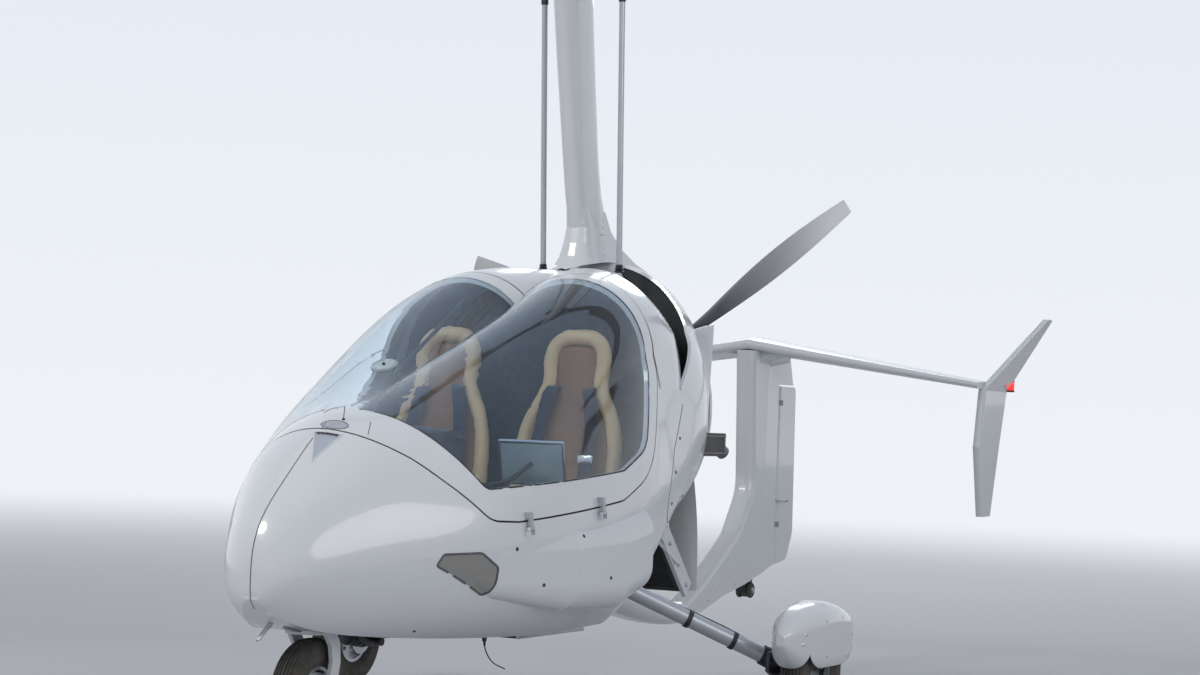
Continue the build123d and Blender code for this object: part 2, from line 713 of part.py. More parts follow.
def tyre(x, y, r, w, bore):
    h = r - bore - 6
    half = [(x + u * w, bore + 6 + v * h) for u, v in TREAD]
    with BuildPart() as b:
        with BuildSketch(Plane(origin=(0, y, r), x_dir=(1, 0, 0), z_dir=(0, -1, 0))):
            with BuildLine():
                Polyline(*half, (x, r), *[(2 * x - px, pz) for px, pz in reversed(half)], close=True)
            make_face()
        revolve(axis=Axis((0, y, r), (1, 0, 0)))
    return b.part


def rim(x, y, r, w, bore, pin_r):
    with BuildPart() as b:
        with Locations((x, y, r)):
            Cylinder(bore + 6, 0.62 * w, rotation=(0, 90, 0))
            Cylinder(bore - 6, w, rotation=(0, 90, 0), mode=Mode.SUBTRACT)
            Cylinder(bore, 12, rotation=(0, 90, 0))
            Cylinder(34, 0.84 * w, rotation=(0, 90, 0))
            Cylinder(pin_r + bore_slack, w, rotation=(0, 90, 0), mode=Mode.SUBTRACT)
    return b.part


main_bore = 102.0
with BuildPart() as gear_leg_left:
    add(gear_leg(1))
gear_leg_left.part.label = "gear_leg_left"
export_step(gear_leg_left.part, "parts/gear_leg_left.step")

with BuildPart() as gear_leg_right:
    add(mirror(gear_leg_left.part, about=Plane.YZ))
gear_leg_right.part.label = "gear_leg_right"
export_step(gear_leg_right.part, "parts/gear_leg_right.step")

with BuildPart() as wheel_fairing_left:
    add(spat(1))
wheel_fairing_left.part.label = "wheel_fairing_left"
export_step(wheel_fairing_left.part, "parts/wheel_fairing_left.step")

with BuildPart() as wheel_fairing_right:
    add(mirror(wheel_fairing_left.part, about=Plane.YZ))
wheel_fairing_right.part.label = "wheel_fairing_right"
export_step(wheel_fairing_right.part, "parts/wheel_fairing_right.step")

with BuildPart() as main_axle_left:
    add(axle(1, wheel_fairing_left.part))
main_axle_left.part.label = "main_axle_left"
export_step(main_axle_left.part, "parts/main_axle_left.step")

with BuildPart() as main_axle_right:
    add(axle(-1, wheel_fairing_right.part))
main_axle_right.part.label = "main_axle_right"
export_step(main_axle_right.part, "parts/main_axle_right.step")

with BuildPart() as main_tyre_left:
    add(tyre(track_half, main_axle_y, main_r, main_w, main_bore))
main_tyre_left.part.label = "main_tyre_left"
export_step(main_tyre_left.part, "parts/main_tyre_left.step")

with BuildPart() as main_tyre_right:
    add(tyre(-track_half, main_axle_y, main_r, main_w, main_bore))
main_tyre_right.part.label = "main_tyre_right"
export_step(main_tyre_right.part, "parts/main_tyre_right.step")

with BuildPart() as main_rim_left:
    add(rim(track_half, main_axle_y, main_r, main_w, main_bore, axle_d / 2))
main_rim_left.part.label = "main_rim_left"
export_step(main_rim_left.part, "parts/main_rim_left.step")

with BuildPart() as main_rim_right:
    add(rim(-track_half, main_axle_y, main_r, main_w, main_bore, axle_d / 2))
main_rim_right.part.label = "main_rim_right"
export_step(main_rim_right.part, "parts/main_rim_right.step")

# nose gear: bearing block in the floor, fork, axle, wheel
nose_bore = 92.0
pin_r = 20.0
fork_in = 60.0
fork_t = 14.0
tow_pin = 20.0         # length of the axle's free ends, where a tow bar hooks on
with BuildPart() as nose_gear_mount:
    with Locations((0, nose_pin_y, 447)):
        Cylinder(108, 90)
    with Locations((0, nose_pin_y, 404)):
        Cylinder(well_r, 100, mode=Mode.SUBTRACT)
    with Locations((0, nose_pin_y, 462)):
        Cylinder(pin_r + bore_slack, 120, mode=Mode.SUBTRACT)
    add(fuselage_tub.part, mode=Mode.SUBTRACT)
nose_gear_mount.part.label = "nose_gear_mount"
export_step(nose_gear_mount.part, "parts/nose_gear_mount.step")

with BuildPart() as nose_fork:
    with Locations((0, nose_pin_y, 440)):
        Cylinder(pin_r, 118)
    with Locations((0, nose_pin_y, 385)):
        Cylinder(78, 14)
    for side in (-1, 1):
        x0, x1 = sorted((side * fork_in, side * (fork_in + fork_t)))
        with BuildSketch(Plane(origin=(x0, 0, 0), x_dir=(0, 1, 0), z_dir=(1, 0, 0))):
            with BuildLine():
                Polyline((-1742, 392), (-1682, 392), (-1650, 350), (-1644, 290), (-1672, 160), (-1728, 160),
                         (-1690, 290), (-1700, 340), close=True)
            make_face()
        extrude(amount=fork_t)
    with Locations((0, nose_axle_y, nose_r)):
        Cylinder(11, 2 * (fork_in + fork_t + tow_pin), rotation=(0, 90, 0))
nose_fork.part.label = "nose_fork"
export_step(nose_fork.part, "parts/nose_fork.step")

with BuildPart() as nose_tyre:
    add(tyre(0, nose_axle_y, nose_r, nose_w, nose_bore))
nose_tyre.part.label = "nose_tyre"
export_step(nose_tyre.part, "parts/nose_tyre.step")

with BuildPart() as nose_rim:
    add(rim(0, nose_axle_y, nose_r, nose_w, nose_bore, 11))
nose_rim.part.label = "nose_rim"
export_step(nose_rim.part, "parts/nose_rim.step")

# radiator hung under the engine bay, leaning back, between two pale side plates
rad_deg = 46.0
with BuildPart() as radiator:
    with Locations(Location((0, 573, 565), (rad_deg, 0, 0))):
        Box(384, 52, 378)
    add(outer, mode=Mode.SUBTRACT)
radiator.part.label = "radiator"
export_step(radiator.part, "parts/radiator.step")

with BuildPart() as radiator_frame:
    for side in (-1, 1):
        with Locations(Location((side * 200, 573, 565), (rad_deg, 0, 0))):
            Box(16, 72, 420)
        add(leaning_bar([(side * 165, 290, 720), (side * 214, 590, 530)], 7))
    add(outer, mode=Mode.SUBTRACT)
radiator_frame.part.label = "radiator_frame"
export_step(radiator_frame.part, "parts/radiator_frame.step")

with BuildPart() as belly_cooler:
    add(slab(-600, -90, 305, 372, -150, 150))
    add(outer, mode=Mode.SUBTRACT)
belly_cooler.part.label = "belly_cooler"
export_step(belly_cooler.part, "parts/belly_cooler.step")

with BuildPart() as exhaust_box:
    with Locations((288, 640, 995)):
        Box(84, 230, 90)
    add(outer, mode=Mode.SUBTRACT)
exhaust_box.part.label = "exhaust_box"
export_step(exhaust_box.part, "parts/exhaust_box.step")

# cabin fittings
SEAT = [(-980, 350), (-980, 600), (-900, 634), (-560, 588), (-428, 1352), (-352, 1352), (-392, 350)]
SEAT_R = [0, 30, 40, 60, 36, 36, 0]
seat_half = 215.0
seat_x = 262.0
# front view of the seat, which narrows to the headrest
SEAT_FRONT = [(-215, 300), (-215, 1000), (-138, 1300), (-110, 1400), (110, 1400), (138, 1300), (215, 1000), (215, 300)]


def seat(side):
    with BuildPart() as b:
        with Locations((side * seat_x, 0, 0)):
            add(side_prism(SEAT, SEAT_R, 0, seat_half))
        with BuildSketch(Plane(origin=(side * seat_x, 0, 0), x_dir=(1, 0, 0), z_dir=(0, -1, 0))):
            with BuildLine():
                Polyline(*SEAT_FRONT, close=True)
            make_face()
        extrude(amount=1200, both=True, mode=Mode.INTERSECT)
        add(inner, mode=Mode.INTERSECT)
    return b.part


with BuildPart() as seat_left:
    add(seat(1))
seat_left.part.label = "seat_left"
export_step(seat_left.part, "parts/seat_left.step")

with BuildPart() as seat_right:
    add(mirror(seat_left.part, about=Plane.YZ))
seat_right.part.label = "seat_right"
export_step(seat_right.part, "parts/seat_right.step")

with BuildPart() as instrument_panel:
    add(side_prism([(-1400, 800), (-1400, 960), (-1330, 1020), (-1230, 1020), (-1205, 800)],
                   [20, 40, 20, 20, 10], 0, 250))
    add(slab(-1380, -1240, 360, 820, -62, 62))
    add(inner, mode=Mode.INTERSECT)
instrument_panel.part.label = "instrument_panel"
export_step(instrument_panel.part, "parts/instrument_panel.step")

with BuildPart() as control_sticks:
    add(slab(-1085, -1035, 360, 404, -290, 290))
    add(inner, mode=Mode.INTERSECT)
    for side in (-1, 1):
        add(leaning_bar([(side * 262, -1060, 398), (side * 262, -1040, 660), (side * 262, -1020, 740)], 12))
        with Locations((side * 262, -1018, 770)):
            Cylinder(17, 90)
control_sticks.part.label = "control_sticks"
export_step(control_sticks.part, "parts/control_sticks.step")

with BuildPart() as pitot_tube:
    add(leaning_bar([(0, -1890, 452), (0, -1990, 384)], 7))
    add(outer, mode=Mode.SUBTRACT)
pitot_tube.part.label = "pitot_tube"
export_step(pitot_tube.part, "parts/pitot_tube.step")

with BuildPart() as belly_antenna:
    with BuildSketch(Plane(origin=(92, -760, 300), x_dir=(0, 1, 0), z_dir=(1, 0, 0))):
        with BuildLine():
            Polyline((-18, 75), (30, 75), (24, 0), (8, 0), close=True)
        make_face()
    extrude(amount=8)
    add(outer, mode=Mode.SUBTRACT)
belly_antenna.part.label = "belly_antenna"
export_step(belly_antenna.part, "parts/belly_antenna.step")


# arms that carry the canopy, one turning on each sill pin
with BuildPart() as canopy_hinges:
    for at in (hinge_a, hinge_b):
        with BuildSketch(hinge_plane(at).offset(-7)):
            Circle(7)
            with Locations((0, 26)):
                Rectangle(10, 52)
            with Locations((18, 43)):
                Rectangle(44, 18)
            Circle(sill_pin_r + bore_slack, mode=Mode.SUBTRACT)
        extrude(amount=14)
    add(outer, mode=Mode.SUBTRACT)
canopy_hinges.part.label = "canopy_hinges"
export_step(canopy_hinges.part, "parts/canopy_hinges.step")
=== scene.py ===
# Looks of the gyrocopter: materials, glazing, cabin trim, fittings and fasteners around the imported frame.
import json
import math

import bmesh
import bpy
from mathutils import Matrix, Vector
from mathutils.bvhtree import BVHTree

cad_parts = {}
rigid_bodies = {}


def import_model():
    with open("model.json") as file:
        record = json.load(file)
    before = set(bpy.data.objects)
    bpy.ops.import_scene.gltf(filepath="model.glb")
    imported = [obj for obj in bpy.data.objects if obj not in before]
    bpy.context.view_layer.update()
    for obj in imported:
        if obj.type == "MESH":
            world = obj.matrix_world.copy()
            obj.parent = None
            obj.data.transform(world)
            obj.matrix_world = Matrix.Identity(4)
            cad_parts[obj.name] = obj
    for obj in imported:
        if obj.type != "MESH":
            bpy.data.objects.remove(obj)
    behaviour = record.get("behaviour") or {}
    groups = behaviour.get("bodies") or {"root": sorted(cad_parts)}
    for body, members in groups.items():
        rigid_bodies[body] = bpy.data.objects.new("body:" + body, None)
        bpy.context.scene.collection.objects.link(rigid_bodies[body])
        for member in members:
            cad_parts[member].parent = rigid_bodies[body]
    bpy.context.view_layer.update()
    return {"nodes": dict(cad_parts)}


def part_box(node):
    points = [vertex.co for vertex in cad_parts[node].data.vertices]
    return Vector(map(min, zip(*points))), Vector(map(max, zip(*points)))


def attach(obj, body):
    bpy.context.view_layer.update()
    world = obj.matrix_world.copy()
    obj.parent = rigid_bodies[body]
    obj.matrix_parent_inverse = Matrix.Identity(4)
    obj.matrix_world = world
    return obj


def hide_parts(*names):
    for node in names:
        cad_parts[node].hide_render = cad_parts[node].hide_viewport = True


for stray in list(bpy.data.objects):
    bpy.data.objects.remove(stray, do_unlink=True)
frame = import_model()
nodes = frame["nodes"]
scene = bpy.context.scene
SIDES = ((1, "left"), (-1, "right"))
X, Y, Z = (1, 0, 0), (0, 1, 0), (0, 0, 1)


# ---------------------------------------------------------------- shader graphs
def feed(nt, target, key, value):
    # an input takes a constant, a socket, or another node's first output
    if isinstance(value, bpy.types.Node):
        value = value.outputs[0]
    if isinstance(value, bpy.types.NodeSocket):
        nt.links.new(value, target.inputs[key])
    else:
        target.inputs[key].default_value = value


def shader(nt, kind, inputs=None, **settings):
    made = nt.nodes.new("ShaderNode" + kind)
    for key, value in settings.items():
        setattr(made, key, value)
    for key, value in (inputs or {}).items():
        feed(nt, made, key, value)
    return made


def ramp(nt, factor, low, high):
    # colours at two stops, each (position, colour)
    made = shader(nt, "ValToRGB", {0: factor})
    for stop, (place, color) in zip(made.color_ramp.elements, (low, high)):
        stop.position, stop.color = place, (*color, 1)
    return made


# ---------------------------------------------------------------- camera, light and floor
PHOTO_WIDTH, SENSOR, FOCAL_PIXELS = 1200, 36.0, 2544.46
CAMERA_PLACE = (4.2455, -8.4714, 1.0776)
CAMERA_RIGHT = Vector((0.89935, 0.4355, 0.0389))
CAMERA_UP = Vector((-0.02104, -0.04575, 0.99873))
CAMERA_AHEAD = Vector((-0.43673, 0.89903, 0.03198))
BACKDROP, SKY_TOP, FLOOR = (0.86, 0.89, 0.93), (0.5, 0.62, 0.8), (0.5, 0.51, 0.53)
FLOOR_RADIUS, FADE_START, FADE_END = 60, 4.0, 22.0
# name, place, target, size, watts, colour
LAMPS = [("key", (-3.2, -7.5, 7.5), (0, -0.6, 1.0), 3.0, 330, (1.0, 0.98, 0.95)),
         ("side", (8.5, -3.0, 4.0), (0, 0, 1.0), 4.0, 120, (1, 1, 1)),
         ("back", (-2.5, 8.5, 6.0), (0, 1.2, 1.0), 4.0, 130, (1, 1, 1))]


def add_object(name, data):
    obj = bpy.data.objects.new(name, data)
    scene.collection.objects.link(obj)
    return obj


def make_camera():
    data = bpy.data.cameras.new("camera")
    data.sensor_fit = "HORIZONTAL"
    data.sensor_width = SENSOR
    data.lens = FOCAL_PIXELS / PHOTO_WIDTH * SENSOR
    data.clip_end = 200
    cam = add_object("camera", data)
    turn = Matrix((CAMERA_RIGHT, CAMERA_UP, -CAMERA_AHEAD)).transposed()
    cam.matrix_world = Matrix.Translation(CAMERA_PLACE) @ turn.to_4x4()
    scene.camera = cam


def area_light(name, place, target, size, watts, tint):
    data = bpy.data.lights.new(name, "AREA")
    data.shape, data.size, data.energy, data.color = "DISK", size, watts, tint
    lamp = add_object(name, data)
    lamp.location = place
    lamp.rotation_euler = (Vector(target) - Vector(place)).to_track_quat("-Z", "Y").to_euler()


def make_world():
    world = scene.world = bpy.data.worlds.new("studio")
    world.use_nodes = True
    nt = world.node_tree
    nt.nodes.clear()
    # the seen sky is a little deeper overhead, so that gloss has something to show
    height = shader(nt, "SeparateXYZ", {0: shader(nt, "TexCoord").outputs["Generated"]}).outputs[2]
    sky = ramp(nt, height, (0.0, BACKDROP), (0.9, SKY_TOP))
    rays = shader(nt, "LightPath").outputs
    direct = shader(nt, "Math", {0: rays["Is Camera Ray"], 1: rays["Is Glossy Ray"]}, operation="MAXIMUM")
    shows = shader(nt, "Math", {0: direct, 1: rays["Is Transmission Ray"]}, operation="MAXIMUM")
    lit = shader(nt, "Background", {0: (0.93, 0.96, 1.0, 1), 1: 0.5})
    seen = shader(nt, "Background", {0: sky, 1: 1.0})
    shader(nt, "OutputWorld", {0: shader(nt, "MixShader", {0: shows, 1: lit, 2: seen})})


def make_floor():
    mesh = bpy.data.meshes.new("floor")
    rim = [(FLOOR_RADIUS * math.cos(a * math.tau / 64), FLOOR_RADIUS * math.sin(a * math.tau / 64), 0)
           for a in range(64)]
    mesh.from_pydata(rim, [], [tuple(range(64))])
    floor = add_object("floor", mesh)
    mat = bpy.data.materials.new("floor")
    mat.use_nodes = True
    nt = mat.node_tree
    bsdf = nt.nodes["Principled BSDF"]
    feed(nt, bsdf, "Base Color", (*FLOOR, 1))
    feed(nt, bsdf, "Roughness", 0.75)
    far = shader(nt, "VectorMath", {0: shader(nt, "TexCoord").outputs["Object"]}, operation="LENGTH")
    span = shader(nt, "MapRange", {0: far.outputs["Value"], 1: FADE_START, 2: FADE_END},
                  interpolation_type="SMOOTHSTEP")
    both = shader(nt, "Math", {0: span, 1: shader(nt, "LightPath").outputs["Is Camera Ray"]}, operation="MULTIPLY")
    glow = shader(nt, "Emission", {0: (*BACKDROP, 1)})
    feed(nt, nt.nodes["Material Output"], 0, shader(nt, "MixShader", {0: both, 1: bsdf, 2: glow}))
    mesh.materials.append(mat)


make_camera()
make_world()
make_floor()
for row in LAMPS:
    area_light(*row)
scene.view_settings.view_transform = "Standard"

# ---------------------------------------------------------------- materials
MATS = {}
# brown-grey mixed in low down: dust on dark parts, painted shade on pale ones
DUST_AND_SHADE, DUST_AND_SHADE_TOP = (0.3, 0.27, 0.22), 0.55


def finish_mat(name, color, rough, vary, scale, grain=0, grain_scale=220, metal=0.0, coat=0.0, rough_vary=0.06,
               voronoi=False, sheen=0.0, dirt=0.0, stretch=(1, 1, 1), second=None, second_amount=0.0, see=0.0,
               glow=0.0):
    # one procedural finish: cloudy colour, uneven roughness and a fine grain
    mat = bpy.data.materials.new(name)
    mat.use_nodes = True
    nt = mat.node_tree
    coord = shader(nt, "TexCoord").outputs["Object"]
    where = shader(nt, "Mapping", {0: coord, "Scale": stretch})
    cloud = shader(nt, "TexNoise", {"Vector": where, "Scale": scale, "Detail": 4.0}).outputs["Fac"]
    low = [max(0.0, c * (1 - vary)) for c in color]
    high = [min(1.0, c * (1 + vary)) for c in color]
    if second:
        high = [c + (s - c) * second_amount for c, s in zip(color, second)]
    tone = ramp(nt, cloud, (0.35, low), (0.65, high))
    if dirt:
        # darker and browner towards the bottom: dust on the dark tyres, painted shade on the pale skin, legs and
        # fittings
        height = shader(nt, "SeparateXYZ", {0: coord}).outputs[2]
        rise = shader(nt, "MapRange", {0: height, 1: DUST_AND_SHADE_TOP, 2: 0.0, 4: dirt})
        dust_and_shade_patch = shader(nt, "Math", {0: rise, 1: cloud}, operation="MULTIPLY")
        tone = shader(nt, "Mix", {"Factor": dust_and_shade_patch, "A": tone, "B": (*DUST_AND_SHADE, 1)}, data_type="RGBA").outputs["Result"]
    patch = shader(nt, "TexNoise", {"Vector": where, "Scale": scale * 3.1, "Detail": 5.0}).outputs["Fac"]
    span = shader(nt, "MapRange", {0: patch, 3: max(0.0, rough - rough_vary), 4: min(1.0, rough + rough_vary)})
    surface = {"Metallic": metal, "Coat Weight": coat, "Coat Roughness": 0.04, "Specular IOR Level": 0.5,
               "Sheen Weight": sheen, "IOR": 1.45, "Transmission Weight": see, "Base Color": tone, "Roughness": span}
    if glow:
        surface |= {"Emission Color": tone, "Emission Strength": glow}
    if grain:
        kind, extra, out = ("Voronoi", {}, "Distance") if voronoi else ("Noise", {"Detail": 3.0}, "Fac")
        fine = shader(nt, "Tex" + kind, {"Vector": where, "Scale": grain_scale, **extra}).outputs[out]
        surface["Normal"] = shader(nt, "Bump", {"Height": fine, "Strength": grain, "Distance": 0.001})
    for key, value in surface.items():
        feed(nt, nt.nodes["Principled BSDF"], key, value)
    MATS[name] = mat
    return mat


def radial_tint(name, centre, near_color, far_color, start, end, rough):
    # colour that changes with the distance from a hub, carried by the blade itself: a dark root, and a lighter tip
    # that is a painted reflection of the sun
    nt = finish_mat(name, near_color, rough, 0.03, 3, coat=0.3).node_tree
    surface = nt.nodes["Principled BSDF"]
    base = surface.inputs["Base Color"].links[0].from_socket
    shift = shader(nt, "Mapping", {0: shader(nt, "TexCoord").outputs["Object"], "Location": [-c for c in centre]})
    far = shader(nt, "VectorMath", {0: shift}, operation="LENGTH")
    span = shader(nt, "MapRange", {0: far.outputs["Value"], 1: start, 2: end})
    mixed = shader(nt, "Mix", {"Factor": span, "A": base, "B": (*far_color, 1)}, data_type="RGBA")
    feed(nt, surface, "Base Color", mixed.outputs["Result"])


PROP_AT = (0, 0.884, 1.355)
# columns: name, colour, roughness, colour variation, scale of its clouds, grain, scale of the grain, others
FINISHES = [
    ("gelcoat", (0.66, 0.68, 0.71), 0.24, 0.02, 1.6, 0, 220, dict(coat=0.6, dirt=0.35)),
    ("canopy_tint", (0.86, 0.93, 0.975), 0.01, 0.01, 5, 0, 220, dict(rough_vary=0.005, see=1.0)),
    ("smoked_lens", (0.3, 0.295, 0.285), 0.1, 0.05, 5, 0, 220, dict(rough_vary=0.02, see=0.12, coat=0.5)),
    ("black_plastic", (0.022, 0.023, 0.026), 0.5, 0.2, 12, 0.35, 900, {}),
    ("dark_trim", (0.05, 0.052, 0.06), 0.75, 0.25, 30, 0.6, 1400, dict(sheen=0.2)),
    ("dark_metal", (0.06, 0.06, 0.065), 0.42, 0.2, 14, 0.2, 500, dict(metal=0.6)),
    ("grey_paint", (0.46, 0.48, 0.52), 0.32, 0.05, 6, 0.06, 220, dict(metal=0.35, coat=0.3, dirt=0.4)),
    ("bare_alloy", (0.62, 0.63, 0.65), 0.32, 0.06, 9, 0.15, 400, dict(metal=1.0, stretch=(1, 1, 6))),
    ("steel", (0.55, 0.55, 0.56), 0.28, 0.08, 20, 0.1, 220, dict(metal=1.0)),
    ("cast_alloy", (0.26, 0.26, 0.27), 0.55, 0.15, 18, 0.5, 260, dict(metal=0.7)),
    ("tyre_rubber", (0.028, 0.027, 0.026), 0.78, 0.25, 25, 0.4, 600, dict(dirt=0.5)),
    ("cream_leather", (0.72, 0.5, 0.27), 0.48, 0.06, 7, 0.35, 420, dict(voronoi=True, sheen=0.1)),
    ("tan_leather", (0.27, 0.13, 0.065), 0.52, 0.12, 9, 0.4, 420, dict(voronoi=True, sheen=0.1)),
    # glowing red of the nav lamp, also worn by the lever knobs, where the glow is painted light
    ("red_lamp", (0.85, 0.03, 0.02), 0.12, 0.04, 5, 0, 220, dict(glow=1.2)),
    ("green_lamp", (0.02, 0.6, 0.16), 0.12, 0.04, 5, 0, 220, dict(glow=0.5)),
    ("blade_white", (0.7, 0.71, 0.73), 0.3, 0.03, 3, 0, 220, dict(coat=0.3)),
    ("rubber_seal", (0.012, 0.012, 0.013), 0.6, 0.15, 30, 0, 220, {}),
    ("hairline", (0.1, 0.1, 0.11), 0.7, 0.2, 40, 0, 220, {}),
    # blue-grey lining for the canopy's roof: painted shade
    ("headliner", (0.16, 0.17, 0.19), 0.8, 0.1, 40, 0.4, 1500, dict(sheen=0.2)),
    ("navy_webbing", (0.012, 0.016, 0.04), 0.7, 0.2, 20, 0.8, 900, dict(sheen=0.3, stretch=(1, 1, 3))),
    ("clear_ring", (0.85, 0.93, 0.97), 0.05, 0.02, 5, 0, 220, dict(see=0.7)),
    ("dial_face", (0.008, 0.008, 0.01), 0.5, 0.1, 60, 0, 220, {}),
    # the dial ink glows faintly: painted light, with no lamp behind it
    ("dial_ink", (0.8, 0.8, 0.78), 0.5, 0.02, 60, 0, 220, dict(glow=0.05)),
    ("screen", (0.01, 0.016, 0.03), 0.08, 0.3, 8, 0, 220, {}),
    ("pale_plastic", (0.62, 0.74, 0.78), 0.15, 0.08, 12, 0, 220, dict(see=0.35)),
    ("shadow_grey", (0.2, 0.2, 0.22), 0.45, 0.08, 8, 0, 220, dict(coat=0.2)),
    ("heat_steel", (0.3, 0.25, 0.21), 0.42, 0.2, 9, 0.1, 220,
     dict(metal=0.9, second=(0.16, 0.18, 0.26), second_amount=0.7))]
for *row, extras in FINISHES:
    finish_mat(*row, **extras)
# the propeller's dark root is its own colour; its lighter tips are a painted reflection
radial_tint("prop_dark_root_glint_tip", PROP_AT, (0.045, 0.046, 0.05), (0.62, 0.63, 0.65), 0.3, 0.86, 0.35)


def by_member(groups):
    # {group: "member member"} as {member: group}
    return {member: group for group, members in groups.items() for member in members.split()}


FINISH_OF_NODE = by_member({
    "canopy_tint": "canopy_glass", "smoked_lens": "landing_light_left landing_light_right",
    "cream_leather": "seat_left seat_right", "red_lamp": "nav_light_left", "green_lamp": "nav_light_right",
    "tyre_rubber": "main_tyre_left main_tyre_right nose_tyre",
    "bare_alloy": "main_rim_left main_rim_right nose_rim rotor_head rotor_tower rotor_hub_bar pitot_tube",
    "blade_white": "rotor_blade_left rotor_blade_right", "prop_dark_root_glint_tip": "propeller_blades",
    "grey_paint": "gear_leg_left gear_leg_right head_pushrods canopy_hinges", "cast_alloy": "engine_block",
    "dark_metal": "propeller_hub exhaust_box main_axle_left main_axle_right",
    "dark_trim": "cabin_bulkhead instrument_panel",
    "black_plastic": "cowl_vent_band firewall air_baffle tail_bumper nose_gear_mount radiator belly_cooler "
                     "control_sticks belly_antenna"})
for node, obj in nodes.items():
    for slot in obj.material_slots:
        slot.material = MATS[FINISH_OF_NODE.get(node, "gelcoat")]


# ---------------------------------------------------------------- building helpers
# angles in degrees past which an edge is drawn sharp, by kind of piece
FLAT, SHARP, CRISP, EASY, PADDED, SOFT = 20, 30, 35, 40, 50, 60
SCREW = 0.0055    # radius of a common screw head
LINE_STEP, SINK = 0.012, 0.0015    # spacing along a seam, depth of its strip under the skin
MAIN_X, MAIN_Y, MAIN_R = 0.97, 0.105, 0.2    # middle of a main wheel and its radius


def solid_mesh(name, verts, faces):
    mesh = bpy.data.meshes.new(name)
    mesh.from_pydata(verts, [], faces)
    bm = bmesh.new()
    bm.from_mesh(mesh)
    bmesh.ops.recalc_face_normals(bm, faces=bm.faces)
    bm.to_mesh(mesh)
    bm.free()
    return mesh


def settle(name, mesh, mat, body, smooth, stands_for):
    mesh.materials.clear()
    mesh.materials.append(MATS[mat])
    mesh.shade_smooth()
    mesh.set_sharp_from_angle(angle=math.radians(smooth))
    obj = add_object(name, mesh)
    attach(obj, body)
    if stands_for:
        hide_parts(*stands_for)
    return obj


def make(name, parts, mat, smooth=SHARP, body="airframe", stands_for=()):
    # one piece from a list of (vertices, faces)
    return settle(name, solid_mesh(name, *join(parts)), mat, body, smooth, stands_for)


def blob(name, rows, mat, stands_for=()):
    # closed form through rings of points, made smooth by one subdivision
    mesh = solid_mesh(name, [Vector(p) for row in rows for p in row], loft_faces(len(rows), len(rows[0])))
    rough = add_object(name + "_rough", mesh)
    rough.modifiers.new("smooth", "SUBSURF").levels = 1
    done = bpy.data.meshes.new_from_object(rough.evaluated_get(bpy.context.evaluated_depsgraph_get()))
    bpy.data.objects.remove(rough, do_unlink=True)
    return settle(name, done, mat, "airframe", PADDED, stands_for)


def join(parts):
    # several (vertices, faces) lists as one
    verts, faces = [], []
    for v, f in parts:
        base = len(verts)
        verts += [Vector(p) for p in v]
        faces += [[base + i for i in one] for one in f]
    return verts, faces


def loft_faces(n, m, closed=True):
    # quads between n rows of m points, closed round and capped, or open
    faces = [(i * m + j, i * m + (j + 1) % m, (i + 1) * m + (j + 1) % m, (i + 1) * m + j)
             for i in range(n - 1) for j in range(m if closed else m - 1)]
    return faces + [list(range(m))[::-1], [(n - 1) * m + j for j in range(m)]] if closed else faces


def basis(axis):
    # an axis and two directions across it
    n = Vector(axis).normalized()
    a = n.cross(Vector(Z) if abs(n.z) < 0.9 else Vector(X)).normalized()
    return n, a, n.cross(a).normalized()


def lathe(profile, place, axis, steps=48, closed=False):
    # profile rows are (distance along the axis, radius)
    n, a, b = basis(axis)
    m = len(profile)
    verts, faces = [], []
    for s in range(steps):
        t = math.tau * s / steps
        out = a * math.cos(t) + b * math.sin(t)
        verts += [Vector(place) + n * h + out * r for h, r in profile]
        this, after = s * m, (s + 1) % steps * m
        for k in range(m if closed else m - 1):
            j = (k + 1) % m
            faces.append((this + k, this + j, after + j, after + k))
    if not closed and profile[0][1] > 1e-5:
        faces.append([s * m for s in range(steps)])
    if not closed and profile[-1][1] > 1e-5:
        faces.append([s * m + m - 1 for s in range(steps)][::-1])
    return verts, faces


def hoop(start, end, inner, outer, place, axis, steps=28):
    # closed square-edged ring round an axis
    return lathe([(start, inner), (start, outer), (end, outer), (end, inner)], place, axis, steps, closed=True)


def smooth_path(points, per=8):
    # Catmull-Rom line through the points
    pts = [Vector(p) for p in points]
    n = len(pts)
    out = []
    for i in range(n - 1):
        p0 = pts[i - 1] if i else pts[0] * 2 - pts[1]
        p1, p2 = pts[i], pts[i + 1]
        p3 = pts[i + 2] if i + 2 < n else pts[-1] * 2 - pts[-2]
        for k in range(per):
            t = k / per
            out.append(0.5 * (2 * p1 + (p2 - p0) * t + (2 * p0 - 5 * p1 + 4 * p2 - p3) * t * t
                              + (3 * p1 - p0 - 3 * p2 + p3) * t * t * t))
    return out + [pts[-1]]


def along(path, i):
    # direction of a line at one of its points
    return (path[min(i + 1, len(path) - 1)] - path[max(i - 1, 0)]).normalized()


def sweep(path, section, up=Z):
    # section points are (across, up) offsets carried along the path
    path = [Vector(p) for p in path]
    verts = []
    for i, p in enumerate(path):
        t = along(path, i)
        side = t.cross(Vector(up))
        side = side.normalized() if side.length > 1e-4 else basis(t)[1]
        top = side.cross(t).normalized()
        verts += [p + side * x + top * y for x, y in section]
    return verts, loft_faces(len(path), len(section))


def ring(r, steps=12, high=None):
    # round or oval section
    high = r if high is None else high
    return [(r * math.cos(math.tau * k / steps), high * math.sin(math.tau * k / steps)) for k in range(steps)]


def tube(points, r, per=6, steps=12):
    path = smooth_path(points, per) if len(points) > 2 else [Vector(p) for p in points]
    up = Z if abs((path[1] - path[0]).normalized().z) < 0.9 else Y
    return sweep(path, ring(r, steps), up)


